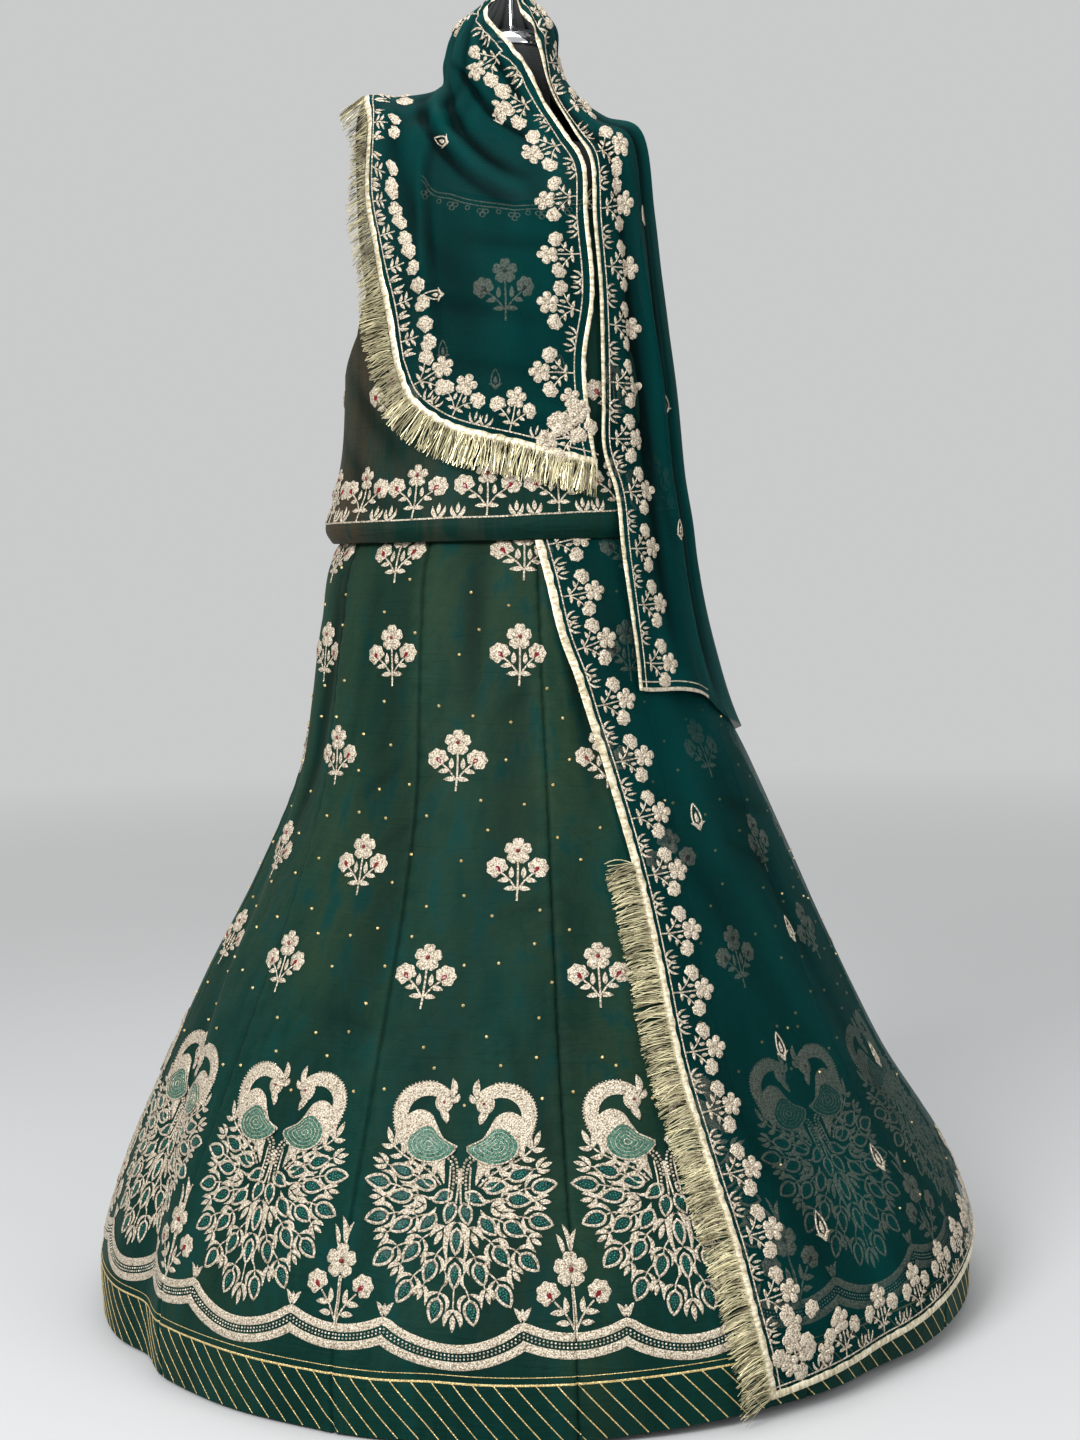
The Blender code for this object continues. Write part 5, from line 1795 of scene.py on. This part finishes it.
def folded_sprig():
    """What shows of a sprig where the cloth is folded over its top flower."""
    made = Motif()
    made.band([(0, 0), (0.5, 12), (0, 24)], 0.8, 0.9)
    for side in (-1, 1):
        made.include(bloom(9.6, -90 - side * BLOOM_LEANS, False, 22), (side * 10.5, 33))
        for foot, tip in FOLDED_LEAVES:
            made.leaf((side * foot[0], foot[1]), (side * tip[0], tip[1]), 3.6, 0.08 * side)
    return made


folded_row = ((0.5, folded_sprig()),)
open_row = ((0.5, border_sprig), (0.91, border_tulip), (1.09, border_tulip))
veil_thread = veil_heaps.setdefault("embroidery_thread", Heap())
for name, laid, edge, side_sign, start, gota_half, line_in in BORDERS[1:]:
    heap = Heap()
    line, _, _ = edge_line(laid, edge, gota_half * 0.5, 420, side_sign, start)
    lay_band(heap, laid, line, gota_half, 0.0010, lift=0.0004, wave=0.24, columns_across=7, seed=len(name))
    heap.piece(name.replace("piping", "gota"), "gota_piping", [name])
    line, arc, angle = edge_line(laid, edge, line_in, 420, side_sign, start)
    lay_band(veil_thread, laid, line, 0.0008, 0.0008)
    unit, row = (FOLDED_UNIT, folded_row) if edge is FRINGE_EDGE else (UNIT, open_row)
    units = max(int(arc[-1] / unit), 1)
    step = arc[-1] / units
    for number in range(units):
        for part, motif in row:
            at = (number + part) * step
            if part > 0.5 and (number == units - 1 or at > arc[-1]):
                continue
            spot = [float(np.interp(at, arc, column)) for column in (*line.T, angle)]
            settle(veil_heaps, motif, laid, spot[0], spot[1], angle=spot[2])

# %% [markdown]
# Loose flowers and blooms fill the corners where two borders meet. The field between the borders is nearly
# plain: outlined drops far apart, and single beads. A double line of thread follows the fold at the side.

# %% The odhni's corners and field
CORNERS = (
    ("laid", "turn", "level", "angle"),
    (shawl, 21.0, 1.020, 10), (shawl, 17.5, 1.038, 40), (shawl, 22.0, 1.050, -20), (shawl, 14.0, 1.027, 5),
    (shawl, 18.5, 1.064, 15), (lower_veil, 29.0, 0.056, 20), (lower_veil, 31.5, 0.075, -30),
    (lower_veil, 34.0, 0.060, 50), (lower_veil, 30.0, 0.096, 0), (lower_veil, 33.0, 0.104, 35),
    (lower_veil, 36.5, 0.084, 10),
)
for number, (laid, turn, level, angle) in enumerate(CORNERS[1:]):
    closing = flower(5, 12.0, 0.41, False, 11) if number % 3 else bloom(9.5, -90, False, 22)
    settle(veil_heaps, closing, laid, turn, level, angle=angle, lift=0.0012)
TURNED_DROPS = ((-29, 1.352, 90), (-23, 1.185, 90), (-7, 1.395, 20))
FIELD = (
    ("laid", "size", "places"),
    (shawl, 1.0, ((66, 1.250), (74, 1.050), (62, 0.900), (88, 0.850))),
    (lower_veil, 1.35, (
        (40.5, 0.575), (59, 0.440), (44, 0.330), (72, 0.280), (54, 0.200), (88, 0.400), (82, 0.160),
        (38, 0.160),
    )),
    (back_veil, 1.35, (
        (112, 1.250), (134, 1.080), (118, 0.900), (142, 0.740), (114, 0.560), (160, 1.260), (172, 1.000),
        (200, 1.220), (228, 1.340), (132, 0.460),
    )),
)
for turn, level, angle in TURNED_DROPS:
    settle(veil_heaps, drop, shawl, turn, level, angle=angle)
for laid, size, places in FIELD[1:]:
    for turn, level in places:
        settle(veil_heaps, drop, laid, turn, level, scale=size)
dice = np.random.default_rng(31)
for _ in range(24):
    turn, level = dice.uniform(32, 98), dice.uniform(0.14, 0.70)
    settle(veil_heaps, single, lower_veil, turn, level, scale=0.8)
for _ in range(60):
    turn, level = dice.uniform(104, 230), dice.uniform(0.6, 1.38)
    if level > np.interp(turn, *np.array(BACK_EDGE).T) + 0.08:
        settle(veil_heaps, single, back_veil, turn, level, scale=0.8)
for inwards, half in ((0.002, 0.0022), (0.011, 0.0008)):
    line, _, _ = edge_line(shawl, SWAG_FOLD, inwards, 90, 1, 0.0, 0.42)
    lay_band(veil_thread, shawl, line, half, 0.0008)
print("drops:", len(TURNED_DROPS) + sum(len(places) for _, _, places in FIELD[1:]))
veil_work = finish_heaps(veil_heaps, "odhni")


# %% [markdown]
# ## The kiran fringe
# Kiran is a heading with hundreds of drawn metal strips. A strip here is a ribbon of a few points: it
# leaves the edge, keeps its direction for a while, and bends a little down. The dice vary its length, its
# lean and its bend.

# %% Fringe
FRINGE_LENGTH, FRINGE_LAYERS, HALF_STRIP = 0.036, 3, 0.00038
STRIP_POINTS = 6
LOWEST = 0.0035  # the strips lie no deeper than this over the floor


def kiran(name, laid, edge, start, pitch, sag, seed):
    """A fringe along an edge, from a share of its length to its end."""
    heap = Heap()
    line, arc, _ = edge_line(laid, edge, -0.001, 500, 1, start)
    place, normal = laid(*line.T), laid.normal(*line.T)
    ahead = np.gradient(place, axis=0)
    ahead /= np.linalg.norm(ahead, axis=1, keepdims=True)
    away = np.cross(ahead, normal)
    dice = np.random.default_rng(seed)
    count = int(arc[-1] / pitch)
    share = np.linspace(0, 1, STRIP_POINTS)[:, None]
    for layer in range(FRINGE_LAYERS):
        for at in np.linspace(0, arc[-1], count) + dice.uniform(-0.4, 0.4, count) * pitch:
            spot, up, along_it, out = (
                np.stack([np.interp(at, arc, values[:, i]) for i in range(3)], -1)
                for values in (place, normal, ahead, away)
            )
            reach = FRINGE_LENGTH * dice.uniform(0.82, 1.06)
            lean_by, curl = dice.normal(0, 0.13), dice.normal(0, 0.06)
            lifted = 0.0004 + layer * 0.0007 + abs(dice.normal(0, 0.0010))
            path = spot + out * reach * share
            path = path + along_it * reach * (lean_by * share + curl * np.sin(3 * share))
            path = path + up * (lifted + 0.002 * dice.random() * share) - (0, 0, sag) * share**2
            path[:, 2] = np.maximum(path[:, 2], LOWEST)
            half = (along_it + up * dice.normal(0, 0.5)) * HALF_STRIP
            strip = np.stack([path - half, path + half])
            threads = np.stack([np.stack([0 * share[:, 0] + at, share[:, 0] * reach], -1)] * 2)
            heap.add(strip, grid_faces(2, STRIP_POINTS), threads)
    return heap.piece(name + "_strands", "kiran_fringe", [name])


FRONT_FRINGE_EDGE = (*FRINGE_EDGE, *CHEST_EDGE[1:])
fringe_front = kiran(
    "odhni_fringe_front", shawl, FRONT_FRINGE_EDGE, start=0.0, pitch=0.0021, sag=0.002, seed=41
)
fringe_lower = kiran(
    "odhni_fringe_lower", lower_veil, SLANT_EDGE, start=0.42, pitch=0.0019, sag=0.006, seed=42
)


# %% [markdown]
# ## The dress form
# The torso, the neck block, the cap and the knob are turned again with more sides, because a coarse circle
# shows against the light. The pole and the foot are hidden by the skirt and keep their solids, with real
# finishes.

# %% Form
NECK_PROFILE = ((0.0, 1.332), (0.044, 1.332), (0.044, 1.478), (0.0434, 1.482), (0.042, 1.484), (0.0, 1.484))
CAP_RADIUS, CAP_FOOT, CAP_HEIGHT = 0.047, 1.4853, 0.0247
KNOB_RADIUS, KNOB_MIDDLE, KNOB_HALF = 0.0150, 1.5550, 0.0105


def smooth_torso():
    """The torso, closed by a lid below and above."""
    heap = Heap()
    turn, level = np.meshgrid(np.linspace(0, 360, 121), np.linspace(0.80, 1.382, 80))
    place = torso_point(turn, level)
    heap.add(place, grid_faces(*turn.shape), np.stack([turn * 0.003, level], -1))
    for row, flip in ((place[0], False), (place[-1], True)):
        lid = np.stack([row, np.broadcast_to(row.mean(0), row.shape)])
        faces = grid_faces(2, len(row))
        heap.add(lid, faces[:, ::-1] if flip else faces)
    return heap.piece("torso_jersey", "form_cloth", ["form_torso"])


def rounded(radius, middle, height, first, last, count):
    """Part of a rounded profile between two angles, as radii and heights."""
    bend = np.radians(np.linspace(first, last, count))
    return [(radius * math.cos(b), middle + height * math.sin(b)) for b in bend]


def turned(name, finish, profile, stands_for, sides=72):
    """A body turned from a profile of radii and heights."""
    heap = Heap()
    angles = np.linspace(0, 2 * math.pi, sides + 1)
    rows = [[(r * math.sin(a), -r * math.cos(a), z) for a in angles] for r, z in profile]
    threads = [[(a * r, z) for a in angles] for r, z in profile]
    heap.add(np.array(rows), grid_faces(len(profile), sides + 1), threads)
    return heap.piece(name, finish, stands_for)


smooth_torso()
turned("neck_block", "form_cloth", NECK_PROFILE, ["form_neck"])
cap_profile = [(0.0, 1.4845), (0.0465, 1.4845), (CAP_RADIUS, 1.4850)]
cap_profile += rounded(CAP_RADIUS, CAP_FOOT, CAP_HEIGHT, 0, 88, 16) + [(0.0, 1.5100)]
turned("neck_cap", "chrome", cap_profile, ["form_neck_cap"])
knob_profile = [(0.0, 1.5098), (0.0062, 1.5098), (0.0050, 1.5140), (0.0050, 1.5440)]
knob_profile += rounded(KNOB_RADIUS, KNOB_MIDDLE, KNOB_HALF, -70, 88, 18) + [(0.0, 1.5657)]
turned("finial_knob", "chrome", knob_profile, ["form_finial"])
for node, finish in (("form_pole", "chrome"), ("form_base", "base_paint")):
    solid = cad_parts[node]
    solid.data.materials.clear()
    solid.data.materials.append(finishes[finish])
print("points of the cap's and the knob's profiles:", len(cap_profile), len(knob_profile))

# %% [markdown]
# ## The cloths
# The set is seven sheets of cloth: the lehenga, the two halves of the kurti and the four stretches of the
# odhni.

# %% Sheets
print("cloth sheets: 7")

# %% [markdown]
# ## Floor, light and camera
# A plain pale floor runs on into a pale surround: away from the form its own colour gives way to the
# surround's glow, so that no horizon shows. Large soft lights stand above and to both sides, so the silk
# shows broad soft highlights. The camera looks slightly down, from the height of a person's chest, and is a
# little rolled.

# %% Stage
FLOOR_HALF = 40
SURROUND, SURROUND_STRENGTH = (0.62, 0.625, 0.625, 1), 0.95
BLACK = (0.0, 0.0, 0.0)


def soft_light(name, place, aim, size, power):
    """A large rectangular lamp at a place, turned towards its aim."""
    lamp = bpy.data.lights.new(name, "AREA")
    lamp.shape = "RECTANGLE"
    lamp.size, lamp.size_y = size
    lamp.energy = power
    made = bpy.data.objects.new(name, lamp)
    made.location = place
    made.rotation_mode = "QUATERNION"
    made.rotation_quaternion = (Vector(aim) - Vector(place)).to_track_quat("-Z", "Y")
    bpy.context.scene.collection.objects.link(made)


floor_mesh = bpy.data.meshes.new("floor")
corners = [(x * FLOOR_HALF, y * FLOOR_HALF, 0) for x, y in ((-1, -1), (1, -1), (1, 1), (-1, 1))]
floor_mesh.from_pydata(corners, [], [(0, 1, 2, 3)])
pale = Finish("pale floor", Roughness=0.9, Specular_IOR_Level=0.0, Emission_Strength=1.0)
away_from_form = pale.node("ShaderNodeVectorMath", {"operation": "LENGTH"}, {0: pale.place()}, "Value")
far = pale.spread(away_from_form, 1.2, 6.0)
near_colour = pale.mix(pale.noise(pale.place(), 0.8, 2.0), (0.47, 0.48, 0.485), (0.50, 0.51, 0.515))
pale.set(
    Base_Color=pale.mix(far, near_colour, BLACK),
    Emission_Color=pale.mix(far, BLACK, (0.589, 0.594, 0.594)),
)
floor_mesh.materials.append(pale.material)
floor = bpy.data.objects.new("floor", floor_mesh)
bpy.context.scene.collection.objects.link(floor)
world = bpy.data.worlds.new("pale surround")
world.use_nodes = True
glow = world.node_tree.nodes["Background"]
glow.inputs["Color"].default_value = SURROUND
glow.inputs["Strength"].default_value = SURROUND_STRENGTH
bpy.context.scene.world = world
bpy.context.scene.view_settings.view_transform = "Standard"
soft_light("key", (-1.9, -3.2, 2.9), (0, 0, 0.8), (1.8, 1.4), 210)
soft_light("fill", (2.6, -2.6, 2.0), (0, 0, 0.7), (2.0, 2.0), 45)
soft_light("top", (0.0, 0.2, 3.6), (0, 0, 0.6), (2.4, 2.4), 50)
print("lights: 3")

# %% Camera
TILT, ROLL = math.radians(4.7), math.radians(1.17)
EYE = (0.0171, -2.62, 0.90)
SENSOR, FOCAL_POINTS, PICTURE_POINTS = 36.0, 2150, 1440  # the last two in points of the picture
ahead = Vector((0, math.cos(TILT), -math.sin(TILT)))
level_right = Vector((1, 0, 0))
level_up = level_right.cross(ahead)
right = level_right * math.cos(ROLL) - level_up * math.sin(ROLL)
up = level_right * math.sin(ROLL) + level_up * math.cos(ROLL)
camera = bpy.data.objects.new("camera", bpy.data.cameras.new("camera"))
camera.data.sensor_fit = "VERTICAL"
camera.data.sensor_width = camera.data.sensor_height = SENSOR
camera.data.lens = SENSOR * FOCAL_POINTS / PICTURE_POINTS
rows = [(right[i], up[i], -ahead[i], EYE[i]) for i in range(3)]
camera.matrix_world = Matrix([*rows, (0, 0, 0, 1)])
bpy.context.scene.collection.objects.link(camera)
bpy.context.scene.camera = camera
print("lens:", round(camera.data.lens, 2), "mm")

# %% Finish
print("done")
